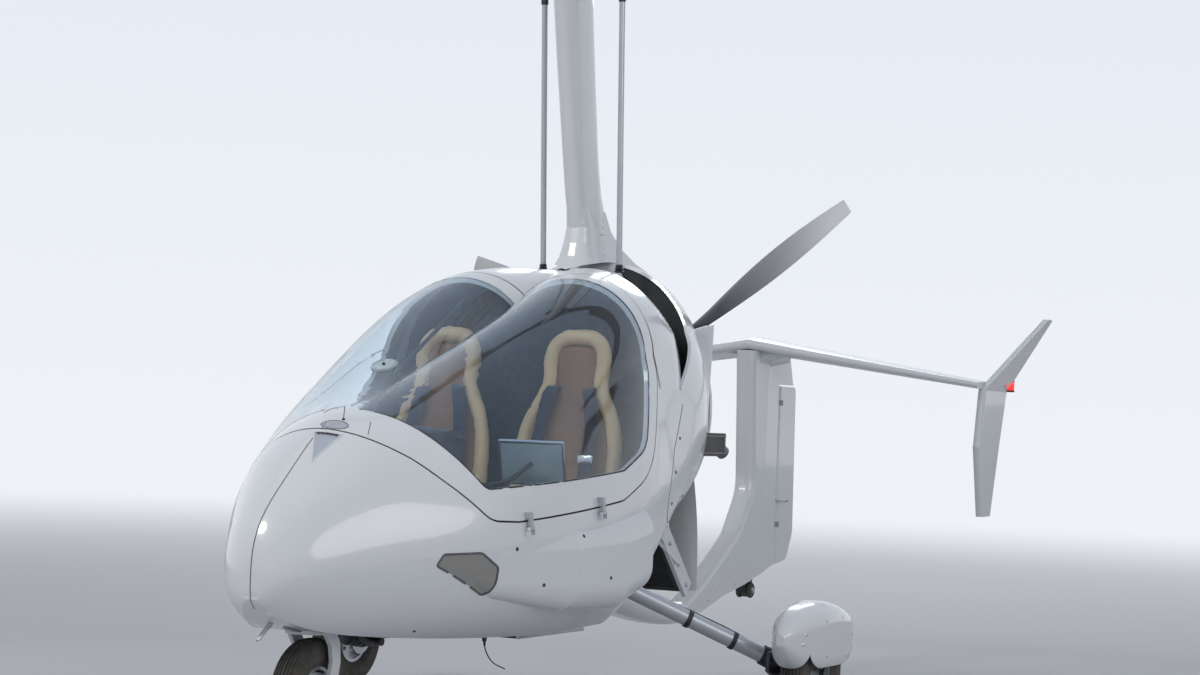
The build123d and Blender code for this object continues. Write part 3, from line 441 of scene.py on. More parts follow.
def block(size, place, bevel=0.004, turn=None, segments=2):
    # box with rounded edges
    bm = bmesh.new()
    bmesh.ops.create_cube(bm, size=1.0)
    bmesh.ops.scale(bm, vec=size, verts=bm.verts)
    bmesh.ops.bevel(bm, geom=list(bm.edges), offset=min(bevel, 0.45 * min(size)), segments=segments,
                    affect="EDGES", profile=0.5)
    m = turn.to_4x4() if turn else Matrix.Identity(4)
    verts = [m @ v.co + Vector(place) for v in bm.verts]
    faces = [[v.index for v in f.verts] for f in bm.faces]
    bm.free()
    return verts, faces


def turned(degrees, axis="X"):
    return Matrix.Rotation(math.radians(degrees), 3, axis)


def plate(points, normal, thick):
    # flat outline of 3-D points pushed along a direction
    lo = [Vector(p) for p in points]
    m = len(points)
    faces = [list(range(m))[::-1], [m + i for i in range(m)]]
    faces += [(i, (i + 1) % m, m + (i + 1) % m, m + i) for i in range(m)]
    return lo + [p + Vector(normal).normalized() * thick for p in lo], faces


def screw_head(place, normal, r):
    # domed head with a washer edge
    h = r * 0.35
    return lathe([(-h, r * 1.15), (h * 0.25, r * 1.15), (h * 0.45, r), (h, r * 0.72), (h * 0.95, r * 0.35),
                  (h * 0.3, r * 0.3), (h * 0.3, 0.0)], place, normal, 14)


def bolt_head(place, normal, r):
    # hexagon with a chamfer, on its washer
    n, a, b = basis(normal)
    place = Vector(place)
    lo = [place + (a * math.cos(k * math.tau / 6) + b * math.sin(k * math.tau / 6)) * r for k in range(6)]
    hi = [p + n * r * 0.7 for p in lo]
    mid = [place + (p - place - n * r * 0.7) * 0.86 + n * r * 0.85 for p in hi]
    wash = lathe([(0, r * 1.35), (r * 0.22, r * 1.35), (r * 0.22, r * 0.5)], place, normal, 18)
    return join([(lo + hi + mid, loft_faces(3, 6)[:12] + [[12 + i for i in range(6)]]), wash])


def tree_of(*names):
    # rays meet the shapes of these nodes or pieces
    shapes = []
    for name in names:
        obj = nodes.get(name) or bpy.data.objects[name]
        shapes.append(([obj.matrix_world @ v.co for v in obj.data.vertices], [p.vertices for p in obj.data.polygons]))
    return BVHTree.FromPolygons(*join(shapes))


bpy.context.view_layer.update()
CANOPY = tree_of("canopy_frame", "canopy_glass")
NECK = tree_of("roof_neck")
HULL = tree_of("fuselage_tub", "canopy_frame", "canopy_glass", "roof_neck", "engine_cowl", "landing_light_left",
               "landing_light_right")


def hit(tree, origin, direction):
    # place and outward normal where a ray first meets a surface
    loc, normal, _, _ = tree.ray_cast(Vector(origin), Vector(direction).normalized(), 20)
    if loc is None:
        return None
    return loc, normal if normal.dot(Vector(direction)) < 0 else -normal


def from_side(y, z, side=1, tree=HULL):
    return hit(tree, (3 * side, y, z), (-side, 0, 0))


def from_top(x, y, tree=HULL):
    return hit(tree, (x, y, 4), (0, 0, -1))


def near(point):
    return HULL.find_nearest(Vector(point))[:2]


def on_top(x, y):
    # point and normal of the hull's skin under a place
    return near(from_top(x, y)[0])


def screws_on(tree, spots, side, r, x=0.0, reach=3.0):
    # screw heads where lines across the aircraft at (y, z) spots meet a surface
    found = [hit(tree, (x + side * reach, y, z), (-side, 0, 0)) for y, z in spots]
    return [screw_head(*got, r) for got in found if got]


def rounded(rows, loop=False):
    # line of (y, z, corner radius) rows in millimetres, as points in metres
    pts = [Vector(row[:2]) / 1000 for row in rows]
    raw = []
    for i, corner in enumerate(pts):
        r = rows[i][2] / 1000
        if r == 0 or (not loop and i in (0, len(pts) - 1)):
            raw.append(corner)
            continue
        u, v = (pts[i - 1] - corner).normalized(), (pts[(i + 1) % len(pts)] - corner).normalized()
        ang = math.acos(max(-1, min(1, u.dot(v))))
        reach = r / math.tan(ang / 2)
        centre = corner + (u + v).normalized() * (r / math.sin(ang / 2))
        s, e = corner + u * reach - centre, corner + v * reach - centre
        swing = math.pi - ang
        k = max(2, int(swing * r / LINE_STEP) + 1)
        for j in range(k + 1):
            t = swing * j / k * (1 if s.x * e.y - s.y * e.x > 0 else -1)
            raw.append(centre + Vector((s.x * math.cos(t) - s.y * math.sin(t), s.x * math.sin(t) + s.y * math.cos(t))))
    if loop:
        raw.append(raw[0])
    out = [raw[0]]
    for p, q in zip(raw, raw[1:]):
        k = max(1, int((q - p).length / LINE_STEP))
        out += [p + (q - p) * (j / k) for j in range(1, k + 1)]
    return out


def ribbon(samples, width, lift=0.0007):
    # narrow raised strip along (point, normal) samples
    verts = []
    n = len(samples)
    for i, (p, nm) in enumerate(samples):
        t = samples[min(i + 1, n - 1)][0] - samples[max(i - 1, 0)][0]
        if t.length < 1e-7:
            t = Vector(Y)
        b = nm.cross(t.normalized()).normalized() * (width / 2)
        verts += [p + b - nm * SINK, p + b + nm * lift, p - b + nm * lift, p - b - nm * SINK]
    return verts, loft_faces(n, 4, closed=False)


def skin_samples(line, side, tree=HULL, jump=0.05):
    # runs of (point, normal) on the skin below a side-view line
    runs = [[]]
    for p in line:
        got = from_side(p.x, p.y, side, tree)
        if got is None or (runs[-1] and (got[0] - runs[-1][-1][0]).length > jump):
            runs.append([])
        if got:
            runs[-1].append(got)
    return [run for run in runs if len(run) > 1]


def skin_lines(line, width, tree=HULL, jump=0.05, lift=0.0007, sides=(-1, 1)):
    return [ribbon(run, width, lift) for side in sides for run in skin_samples(line, side, tree, jump)]


def inner_faces(name, keep, lift):
    # copy of a node's faces that pass a test, moved off the surface
    obj = nodes[name]
    faces, index, normals = [], {}, {}
    for poly in obj.data.polygons:
        if not keep(obj.matrix_world @ poly.center, poly.normal):
            continue
        for v in poly.vertices:
            index.setdefault(v, len(index))
            normals[v] = normals.get(v, Vector((0, 0, 0))) + poly.normal
        faces.append([index[v] for v in poly.vertices])
    verts = [obj.matrix_world @ obj.data.vertices[v].co + normals[v].normalized() * lift for v in index]
    return verts, faces


# ---------------------------------------------------------------- seams, linings and skin fittings
# side-view lines, columns: y, z, corner radius, in millimetres
SEAM = [(-1830, 1136, 0), (-1600, 932, 0), (-1436, 748, 60), (-1340, 746, 0), (-800, 812, 150), (-560, 905, 300),
        (-385, 1230, 200), (-372, 1450, 0), (-372, 1560, 0)]
COWL = [(10, 640, 0), (10, 660, 0), (-195, 702, 60), (-320, 745, 50), (-335, 804, 0), (-280, 979, 60),
        (-162, 1142, 0)]
LAMP = [(-1612, 606, 6), (-1592, 641, 10), (-1474, 646, 22), (-1414, 602, 16), (-1426, 506, 12)]
PANE = [(-1700, 1244, 0), (-1520, 1062, 120), (-1428, 842, 22), (-780, 908, 60), (-590, 985, 150), (-455, 1250, 200),
        (-440, 1450, 0), (-440, 1600, 0)]
SEAL_RADIUS, ROOF_SEAM, BADGE_STEPS = 0.0042, -0.3645, 48


def shifted(line, d):
    # side-view line moved to its right by d metres
    out = []
    for i, p in enumerate(line):
        t = along(line, i)
        out.append(p + Vector((t.y, -t.x)) * d)
    return out


def roof_tree():
    # outside of the roof just behind the canopy, seen from within
    neck = nodes["roof_neck"]
    verts = [neck.matrix_world @ v.co for v in neck.data.vertices]
    faces = [list(p.vertices) for p in neck.data.polygons if p.normal.z > -0.2
             and (p.center - Vector((0, p.center.y, 1.1))).dot(p.normal) > 0]
    return BVHTree.FromPolygons(verts, faces)


def canopy_seal():
    # black rubber in the gap round the canopy, carried by the tub
    line, inside = shifted(rounded(SEAM), 0.003), shifted(rounded(SEAM), -0.005)
    parts = []
    for side in (-1, 1):
        path = []
        for p, q in zip(line, inside):
            got = from_side(q.x, q.y, side, CANOPY)
            if got:
                path.append(Vector((got[0].x, p.x, p.y)) - got[1] * 0.0075)
        path = [p for i, p in enumerate(path) if i == 0 or (p - path[i - 1]).length > 0.006]
        clean = path[:1]
        for p in path[1:]:
            if (p - clean[-1]).length < 0.12:
                clean.append(p)
        parts.append(sweep(clean, ring(SEAL_RADIUS, 8)))
    # over the roof behind the canopy
    roof, arch = roof_tree(), []
    for k in range(61):
        a = math.radians(18 + 144 * k / 60)
        out = Vector((math.cos(a), 0, math.sin(a)))
        got = hit(roof, (0, ROOF_SEAM, 1.1), out)
        if got:
            arch.append(Vector((got[0].x, -0.369, got[0].z)) - out * 0.006)
    parts.append(sweep(arch, ring(SEAL_RADIUS, 8), Y))
    make("canopy_seal", parts, "rubber_seal")


def hairlines():
    parts = []
    for side in (-1, 1):
        parts += skin_lines(rounded(COWL), 0.003, sides=(side,))
        parts += skin_lines(rounded(LAMP, loop=True), 0.007, lift=0.0012, sides=(side,))
    make("skin_hairlines", parts, "hairline")
    make("pane_gasket", skin_lines(rounded(PANE), 0.0045, CANOPY, 0.09, 0.0005), "rubber_seal", body="canopy")


def linings():
    # trim fabric just inside the shell of the cabin, and inside the canopy a blue-grey sheet that is painted shade of
    # the roof
    def shut_in(c, n):
        return HULL.ray_cast(c + n * 0.004, n, 3.0)[0] is not None

    def toward_cabin(c, n):
        return n.dot(Vector((0, 0, 0.8)) - Vector((c.x, 0, c.z))) > 0.15 * Vector((c.x, 0, c.z - 0.8)).length

    def in_tub(c, n):
        return (-1.97 < c.y < -0.335 and c.z > 0.382 and abs(n.y) < 0.93 and toward_cabin(c, n)
                and shut_in(c, n))

    def in_cowl(c, n):
        return n.dot(Vector((-c.x, 0, 1.1 - c.z))) > 0.02 and shut_in(c, n)

    make("cabin_lining", [inner_faces("fuselage_tub", in_tub, 0.0025)], "dark_trim", EASY)
    # the canopy's blue-grey lining is painted shade of the roof's inside
    lid = inner_faces("canopy_frame", lambda c, n: toward_cabin(c, n) and shut_in(c, n), 0.002)
    make("canopy_headliner", [lid], "headliner", EASY, body="canopy")
    make("cowl_lining", [inner_faces("engine_cowl", in_cowl, 0.002)], "black_plastic", EASY)


def skin_screws():
    tub, cowl, alloy = [], [], []
    for side, tag in ((-1, "right"), (1, "left")):
        tub += screws_on(HULL, ((-1.35, 0.658), (-1.063, 0.697), (-1.238, 0.543), (-0.913, 0.558)), side, SCREW)
        cowl += screws_on(HULL, ((-0.215, 1.02), (-0.262, 0.9), (-0.275, 0.79)), side, 0.006)
        cowl += screws_on(HULL, ((0.1, 0.8), (0.3, 0.8), (0.55, 0.86), (0.72, 1.46), (0.4, 1.56)), side, SCREW)
        spat = tree_of("wheel_fairing_" + tag)
        for spot in ((-0.12, 0.352), (0.335, 0.285), (0.02, 0.27), (0.24, 0.26)):
            for face in (-1, 1):
                alloy += screws_on(spat, (spot,), face, SCREW, MAIN_X * side, 0.5)
    make("tub_screws", tub, "dark_metal")
    make("cowl_screws", cowl, "dark_metal")
    make("fairing_screws", alloy, "steel")


def oval(centre, x, y, wide, high):
    # hull skin under an oval drawn round a place on it
    angles = [math.tau * k / BADGE_STEPS for k in range(BADGE_STEPS)]
    return [near(centre + x * wide * math.cos(t) + y * high * math.sin(t)) for t in angles]


def between(a, b, steps):
    return [Vector(a) + (Vector(b) - Vector(a)) * k / steps for k in range(steps + 1)]


def badge_and_lines():
    # blank oval plate and joint lines on the nose of the canopy
    loc, n = on_top(0.03, -1.668)
    x = (Vector(X) - n * n.x).normalized()
    y = n.cross(x)
    rim = oval(loc, x, y, 0.047, 0.026)
    make("blank_badge_rim", [ribbon(rim + rim[:1], 0.0035, 0.0012)], "shadow_grey", body="canopy")
    inner = [p + up * 0.0008 for p, up in oval(loc, x, y, 0.044, 0.0235)]
    mid = near(loc)[0] + n * 0.0012
    fan = [(k, (k + 1) % BADGE_STEPS, BADGE_STEPS) for k in range(BADGE_STEPS)]
    make("blank_badge", [(inner + [mid], fan)], "grey_paint", body="canopy")
    lines = [ribbon([from_top(*p) for p in between(*ends, 8)], 0.002)
             for ends in (((0.118, -1.595), (0.146, -1.656)), ((-0.007, -1.653), (0.004, -1.7)))]
    make("canopy_joint_lines", lines, "hairline", body="canopy")


def yaw_string():
    base, up = on_top(0.04, -1.632)
    top = base + Vector((0.0, 0.004, 0.04))
    post = [lathe([(-0.002, 0.006), (0.003, 0.005), (0.005, 0.002)], base, up, 14),
            tube([base, base + (top - base) * 0.5, top], 0.0013, 3, 8),
            lathe([(-0.002, 0.0), (-0.001, 0.002), (0.001, 0.002), (0.002, 0.0)], top, Z, 10)]
    make("yaw_string_post", post, "dark_metal", body="canopy")
    drift = [(0, 0, 0), (-0.03, 0.006, -0.002), (-0.065, 0.02, -0.01), (-0.095, 0.03, -0.022)]
    make("yaw_string", [tube([top + Vector(d) for d in drift], 0.0009, 5, 6)], "hairline", body="canopy")


def scoop():
    # sunken look painted on: a darker grey ramp inside a thin raised lip is painted shade of the recess, and black
    # slats stand for the fins with the shade of the slot behind them
    tip, left, right = Vector((0.05, -1.822)), Vector((-0.012, -1.716)), Vector((0.085, -1.705))
    lip = [on_top(*p) for a, b in ((tip, left), (left, right), (right, tip)) for p in between(a, b, 14)[:14]]
    make("scoop_lip", [ribbon(lip + lip[:1], 0.004, 0.0022)], "gelcoat")
    verts = []
    for i in range(13):
        a, b = (tip + (end - tip) * (i / 12) for end in (left, right))
        verts += [loc + n * 0.0009 for loc, n in (on_top(*p) for p in between(a, b, 8))]
    make("scoop_ramp", [(verts, loft_faces(13, 9, closed=False))], "grey_paint")
    slats = []
    for k in range(5):
        p = left + (right - left) * (0.12 + 0.76 * ((k + 0.5) / 5))
        loc, n = on_top(p.x, p.y - 0.006)
        slats.append(block((0.012, 0.012, 0.0028), loc + n * 0.0016, 0.0008))
    make("scoop_mouth", slats, "rubber_seal")


def glass_fittings():
    # round sliding vent in the glass, and the brace inside it
    loc, n = near((-0.117, -1.135, 1.23))
    rim = [(-0.0075, 0.036), (0.003, 0.036), (0.0055, 0.039), (0.0055, 0.043), (0.002, 0.046), (-0.0075, 0.046)]
    make("vent_ring", [lathe(rim, loc, n, 40, closed=True)], "clear_ring", body="canopy")
    flap = [(0.0012, 0.0355), (0.003, 0.034), (0.0036, 0.0)]
    make("vent_flap", [lathe(flap, loc, n, 40)], "clear_ring", body="canopy")
    knob = [(0.003, 0.005), (0.009, 0.005), (0.011, 0.003), (0.011, 0.0)]
    make("vent_knob", [lathe(knob, loc, n, 16)], "black_plastic", body="canopy")
    a, b = Vector((-0.04, -1.42, 1.045)), Vector((-0.19, -0.48, 1.475))
    foot = [(-0.004, 0.016), (0.004, 0.016), (0.008, 0.009)]
    brace = [tube([a, (a + b) / 2 + Vector((0, 0, 0.006)), b], 0.0075, 6, 12), lathe(foot, a, b - a, 16),
             lathe(foot, b, a - b, 16)]
    make("canopy_brace", brace, "black_plastic", body="canopy")


canopy_seal()
hairlines()
linings()
skin_screws()
badge_and_lines()
yaw_string()
scoop()
glass_fittings()

# ---------------------------------------------------------------- seats and harness
SEAT_X = 0.262
BACK_FOOT, BACK_TOP = Vector((0, -0.545, 0.63)), Vector((0, -0.433, 1.352))
BACK_UP = (BACK_TOP - BACK_FOOT).normalized()
BACK_OUT = Vector((0, -BACK_UP.z, BACK_UP.y))
# outline of the backrest, columns: height along the back, half width
BACK_ROWS = [(0.0, 0.2), (0.1, 0.205), (0.22, 0.205), (0.33, 0.2), (0.41, 0.186), (0.47, 0.16),
             (0.52, 0.13), (0.56, 0.113), (0.6, 0.11), (0.65, 0.114), (0.69, 0.108), (0.72, 0.085)]
PULL_IN = 0.9    # keeps the pads inside the seat's outline
STRAP_WIDTH, STRAP_THICK = 0.046, 0.0018


def back_point(side, u, h, out):
    return Vector((SEAT_X * side, 0, 0)) + BACK_FOOT + BACK_UP * h + BACK_OUT * out + Vector((u, 0, 0))


def back_half(h):
    for (h0, w0), (h1, w1) in zip(BACK_ROWS, BACK_ROWS[1:]):
        if h <= h1:
            return w0 + (w1 - w0) * (h - h0) / (h1 - h0)
    return BACK_ROWS[-1][1]


def seat_back(side, tag, node):
    # shell behind, cream bolster round the rim, tan centre panel with sewn channels
    outline = [(-w, h) for h, w in BACK_ROWS] + [(-0.045, 0.737), (0.045, 0.737)]
    outline += [(w, h) for h, w in reversed(BACK_ROWS)]
    verts, faces = sweep(smooth_path([back_point(side, u, h, -0.002) for u, h in outline], 4),
                         ring(0.03, 10, 0.026), BACK_OUT)
    centre = Vector((SEAT_X * side, 0, 0)).x
    for v in verts:
        v.x = centre + (v.x - centre) * PULL_IN
    rim = make("seat_rim_" + tag, [(verts, faces)], "cream_leather", SOFT, stands_for=(node,))
    rows = []
    levels = 34
    for i in range(levels + 1):
        h = 0.012 + 0.7 * i / levels
        w = back_half(h) * PULL_IN - 0.02
        groove = 0.0055 * max(0.0, 1 - abs(((h + 0.02) / 0.118) % 1.0 - 0.5) * 2 * 5.0) if 0.06 < h < 0.45 else 0.0
        full = 0.4 + 0.6 * (0.0 if i in (0, levels) else 1.0)
        across = [-1 + 2 * k / 20 for k in range(21)]
        front = [back_point(side, w * u, h, 0.002 + 0.016 * (1 - u * u) * (1 - 0.3 * abs(u)) * full
                            - groove * (1 - abs(u) ** 6)) for u in across]
        rows.append(front + [back_point(side, w * u, h, -0.02) for u in reversed(across)])
    blob("seat_back_pad_" + tag, rows, "tan_leather", stands_for=(node,))
    shell = []
    for h in [0.72 * i / 14 for i in range(15)]:
        w = back_half(h) * PULL_IN - 0.004
        shell.append([back_point(side, w * u, h, -0.02) for u in (-1, -0.5, 0, 0.5, 1)]
                     + [back_point(side, w * u, h, -0.05 - 0.018 * (1 - u * u)) for u in (1, 0.5, 0, -0.5, -1)])
    blob("seat_shell_" + tag, shell, "black_plastic", stands_for=(node,))


def seat_base(side, tag, node):
    cx = SEAT_X * side

    def cushion(u, f, rise):
        # the surface runs forward from the foot of the back: f is 0 there and 1 at the front edge
        y = -0.56 - 0.385 * f
        z = 0.585 + 0.048 * min(1.0, f * 1.15) - 0.03 * max(0.0, f - 0.86) / 0.14 * max(0.0, f - 0.86) / 0.14
        return Vector((cx + u, y, z + rise))

    rows = []
    w = 0.15
    for i in range(25):
        f = -0.02 + 1.02 * i / 24
        full = 0.35 + 0.65 * (0.0 if i in (0, 24) else 1.0)
        groove = 0.005 if i in (6, 12, 18) else 0.0
        rows.append([cushion(w * u, f, -0.03 + (0.02 + 0.016 * (1 - u * u)) * full - groove)
                     for u in [-1 + 2 * k / 14 for k in range(15)]]
                    + [cushion(w * u, f, -0.075) for u in [1 - 2 * k / 14 for k in range(15)]])
    blob("seat_cushion_" + tag, rows, "tan_leather", stands_for=(node,))
    half = [(0.178, 0.0, -0.03), (0.178, 0.25, -0.026), (0.178, 0.55, -0.024), (0.178, 0.85, -0.026),
            (0.15, 0.985, -0.034), (0.06, 1.01, -0.036)]
    path = [cushion(-u, f, rise) for u, f, rise in half] + [cushion(*point) for point in reversed(half)]
    rim = make("seat_bolster_" + tag, [sweep(smooth_path(path, 5), ring(0.03, 10, 0.027))], "cream_leather",
               SOFT, stands_for=(node,))
    pan = []
    for i in range(9):
        y = -0.94 + 0.54 * i / 8
        w, z1 = (0.196, 0.545) if i else (0.18, 0.535)
        half = [(w, z1), (w, 0.46), (w - 0.03, 0.395), (0, 0.386)]
        pan.append([(cx + x, y, z) for x, z in half] + [(cx - x, y, z) for x, z in reversed(half[:-1])]
                   + [(cx, y, z1 + 0.004)])
    blob("seat_pan_" + tag, pan, "black_plastic", stands_for=(node,))


def strap(points, face):
    # flat webbing along a line, its face turned to a direction
    path = smooth_path(points, 5)
    verts = []
    for i, p in enumerate(path):
        side = along(path, i).cross(face).normalized() * STRAP_WIDTH / 2
        up = side.cross(along(path, i)).normalized() * STRAP_THICK / 2
        if up.dot(face) < 0:
            up = -up
        verts += [p - side - up, p - side * 0.5 - up, p + side * 0.5 - up, p + side - up,
                  p + side + up, p + side * 0.5 + up * 1.15, p - side * 0.5 + up * 1.15, p - side + up]
    return verts, loft_faces(len(path), 8)


# columns: distance from the seat's middle, height along the back, distance in front of it
SHOULDER = [(0.06, 0.52, -0.062), (0.066, 0.565, -0.03), (0.072, 0.545, 0.036), (0.088, 0.48, 0.04),
            (0.1, 0.36, 0.038), (0.085, 0.22, 0.044), (0.05, 0.1, 0.062)]
# columns: distance from the seat's middle, y, z
LAP = [(0.205, -0.56, 0.56), (0.19, -0.585, 0.622), (0.135, -0.625, 0.65), (0.07, -0.66, 0.657),
       (0.024, -0.675, 0.66)]


def harness(side, tag):
    cx = SEAT_X * side
    parts, metal = [], []
    for k in (-1, 1):
        pts = [back_point(side, k * u, h, out) for u, h, out in SHOULDER]
        parts.append(strap(pts + [Vector((cx + k * 0.018, -0.668, 0.672))], BACK_OUT + Vector((0, 0, 0.15))))
        metal.append(block((0.056, 0.006, 0.03), back_point(side, k * 0.092, 0.3, 0.045), 0.002, turned(-9)))
        parts.append(strap([(cx + k * u, y, z) for u, y, z in LAP], Vector((0, -0.35, 1))))
        metal.append(block((0.03, 0.05, 0.006), (cx + k * 0.118, -0.64, 0.656), 0.002, turned(-20)))
    make("harness_" + tag, parts, "navy_webbing", SOFT)
    metal.append(lathe([(-0.006, 0.03), (0.004, 0.03), (0.008, 0.026), (0.01, 0.012), (0.009, 0.0)],
                       (cx, -0.682, 0.668), (0, -0.45, 1), 28))
    make("harness_buckles_" + tag, metal, "steel")


for side, tag in SIDES:
    seat_back(side, tag, "seat_" + tag)
    seat_base(side, tag, "seat_" + tag)
    harness(side, tag)

# ---------------------------------------------------------------- cabin fittings
DIAL_FACING = Vector((0, 1, 0.28)).normalized()    # the dials look aft and a little up
DIAL_UP = Vector(X).cross(DIAL_FACING).normalized() * -1
DIAL_UP = DIAL_UP if DIAL_UP.z > 0 else -DIAL_UP
# columns: x, z, radius, angles of the needles
DIALS = [(-0.185, 0.955, 0.036, (40,)), (-0.1, 0.955, 0.036, (-70, 20)), (-0.185, 0.872, 0.028, (100,)),
         (-0.118, 0.872, 0.028, (-30,)), (0.185, 0.955, 0.036, (-110,)), (0.1, 0.955, 0.036, (10,)),
         (0.185, 0.872, 0.028, (60,)), (0.118, 0.872, 0.028, (-80,))]
# section of the shield over the panel, columns: y, z
SHIELD = [(-1.352, 1.0245), (-1.3, 1.0345), (-1.228, 1.034), (-1.182, 1.019), (-1.183, 1.013), (-1.23, 1.0265),
          (-1.3, 1.0275), (-1.35, 1.018)]
PEDAL_TILT = turned(22)


def needle(place, degrees, start, end, half, tip, rise, thick):
    # thin mark on a dial, from start to end along its radius
    n = DIAL_FACING
    d = Vector(X) * math.sin(math.radians(degrees)) + DIAL_UP * math.cos(math.radians(degrees))
    c = d.cross(n).normalized() * half
    p0, p1 = place + d * start + n * rise, place + d * end + n * rise
    return plate([p0 - c, p0 + c, p1 + c * tip, p1 - c * tip], n, thick)


def gauge(place, r, hands):
    # bezel, face, ticks and needles, with no numerals
    bezel = lathe([(-0.004, r), (0.006, r), (0.0075, r * 0.93), (0.005, r * 0.86), (0.0015, r * 0.85)], place,
                  DIAL_FACING, 32)
    ink = []
    for k in range(31):
        long, half = (0.17, 0.0011) if k % 5 == 0 else (0.09, 0.0006)
        ink.append(needle(place, -150 + 300 * k / 30, r * 0.8, r * (0.8 - long), half, 1, 0.0022, 0.0004))
    ink += [needle(place, a, -r * 0.15, r * 0.68, 0.0014, 0.2, 0.003, 0.0006) for a in hands]
    ink.append(lathe([(0.003, r * 0.07), (0.0045, r * 0.07), (0.0045, 0)], place, DIAL_FACING, 14))
    return bezel, lathe([(0.0005, r * 0.86), (0.0018, 0.0)], place, DIAL_FACING, 32), ink


def panel():
    tree = tree_of("instrument_panel")

    def spot(x, z):
        return hit(tree, (x, -0.9, z), (0, -1, 0))

    bezels, faces, ink = [], [], []
    for x, z, r, hands in DIALS:
        bezel, face, marks = gauge(spot(x, z)[0] + Vector((0, 0.002, 0)), r, hands)
        bezels.append(bezel)
        faces.append(face)
        ink += marks
    make("dial_bezels", bezels, "black_plastic")
    make("dial_faces", faces, "dial_face")
    # the marks glow faintly as painted light
    make("dial_marks", ink, "dial_ink")
    middle = spot(0, 0.92)[0]
    make("display_case", [block((0.118, 0.012, 0.156), middle + Vector((0, 0.004, 0)), 0.004, turned(6))],
         "black_plastic")
    make("display_glass", [block((0.098, 0.004, 0.12), middle + Vector((0, 0.0105, 0.008)), 0.001, turned(6))],
         "screen")
    knob = [(0, 0.006), (0.003, 0.006), (0.004, 0.0032), (0.012, 0.0022), (0.014, 0.0)]
    make("panel_switches", [lathe(knob, spot(-0.04 + 0.02 * k, 0.838)[0], Y, 12) for k in range(5)], "steel")
    corners = [spot(x, z) for x in (-0.225, 0.225) for z in (0.835, 0.985)]
    make("panel_screws", [screw_head(*got, 0.005) for got in corners if got], "steel")
    rows = []
    for i in range(9):
        x = -0.262 + 0.524 * i / 8
        rows.append([(x, y, z - 0.03 * (abs(x) / 0.262) ** 3) for y, z in SHIELD])
    blob("glare_shield", rows, "dark_trim")


def chart_holder():
    # clear chart holder with a metal clip, on a short arm by the left of the console
    place = Vector((0.405, -1.04, 0.925))
    turn = turned(16, "Z") @ turned(-62)

    def at(x, y, z):
        return place + turn @ Vector((x, y, z))

    make("chart_holder", [block((0.21, 0.15, 0.01), place, 0.004, turn)], "pale_plastic")
    # columns: offset across and along, size across and along
    bars = ((0, 0.077, 0.216, 0.009), (0, -0.077, 0.216, 0.009), (0.106, 0, 0.008, 0.158), (-0.106, 0, 0.008, 0.158))
    edge = [block((sx, sy, 0.014), at(dx, dy, 0), 0.003, turn) for dx, dy, sx, sy in bars]
    edge.append(block((0.09, 0.022, 0.008), at(0, 0.066, 0.012), 0.003, turn))
    edge.append(tube([at(-0.045, 0.058, 0.016), at(0, 0.052, 0.02), at(0.045, 0.058, 0.016)], 0.003, 4, 8))
    make("chart_holder_frame", edge, "bare_alloy")
    arm = [at(0, 0.0, -0.006), place + Vector((-0.05, -0.07, -0.06)), (0.3, -1.17, 0.85), (0.215, -1.235, 0.86)]
    make("chart_holder_arm", [tube(arm, 0.007, 6, 10)], "black_plastic")


def controls():
    bellows = [(0.0, 0.052), (0.006, 0.054)]
    for k in range(6):
        bellows += [(0.012 + 0.012 * k, 0.05 - 0.0055 * k), (0.018 + 0.012 * k, 0.04 - 0.0045 * k)]
    bellows += [(0.09, 0.0135), (0.096, 0.0125)]
    boots, grips, pedals = [], [], []
    for side in (-1, 1):
        x = SEAT_X * side
        boots.append(lathe(bellows, (x, -1.0595, 0.404), (0, 0.06, 1), 28))
        top = Vector((x, -1.018, 0.812))
        grips.append(lathe([(0.0, 0.0175), (0.004, 0.0205), (0.016, 0.0205), (0.022, 0.016), (0.024, 0.0)], top,
                           (0, 0.1, 1), 20))
        grips.append(lathe([(0, 0.006), (0.004, 0.006), (0.005, 0.0)], top + Vector((0, 0.003, 0.022)), (0, 0.1, 1),
                           12))
        for dx in (-0.075, 0.075):
            px = x * 0.8 + dx
            pedals.append(block((0.07, 0.016, 0.092), (px, -1.56, 0.5), 0.005, PEDAL_TILT))
            pedals.append(tube([(px, -1.565, 0.462), (px, -1.58, 0.43), (px, -1.56, 0.396)], 0.008, 4, 8))
            pedals += [block((0.06, 0.003, 0.006), (px, -1.55 + 0.0072 * k, 0.472 + 0.02 * k), 0.001, PEDAL_TILT)
                       for k in range(4)]
    make("stick_boots", boots, "rubber_seal", SOFT)
    make("stick_tops", grips, "rubber_seal", SOFT)
    make("rudder_pedals", pedals, "dark_metal")
    # throttle and brake levers between the seats
    levers = [block((0.07, 0.3, 0.06), (0, -0.8, 0.42), 0.012),
              tube([(-0.014, -0.85, 0.445), (-0.014, -0.88, 0.54), (-0.014, -0.9, 0.59)], 0.006, 4, 10),
              tube([(0.014, -0.79, 0.445), (0.014, -0.815, 0.52), (0.014, -0.83, 0.56)], 0.006, 4, 10)]
    make("centre_levers", levers, "dark_metal")
    knob = [(-0.012, 0.0), (-0.01, 0.009), (0.0, 0.013), (0.01, 0.009), (0.012, 0.0)]
    caps = [lathe(knob, p, (0, -0.3, 1), 16) for p in ((-0.014, -0.903, 0.598), (0.014, -0.832, 0.568))]
    # the knobs share the glowing lamp red, so they shine though they are no lamps: painted light
    make("lever_knobs", caps, "red_lamp", SOFT)


panel()
chart_holder()
controls()

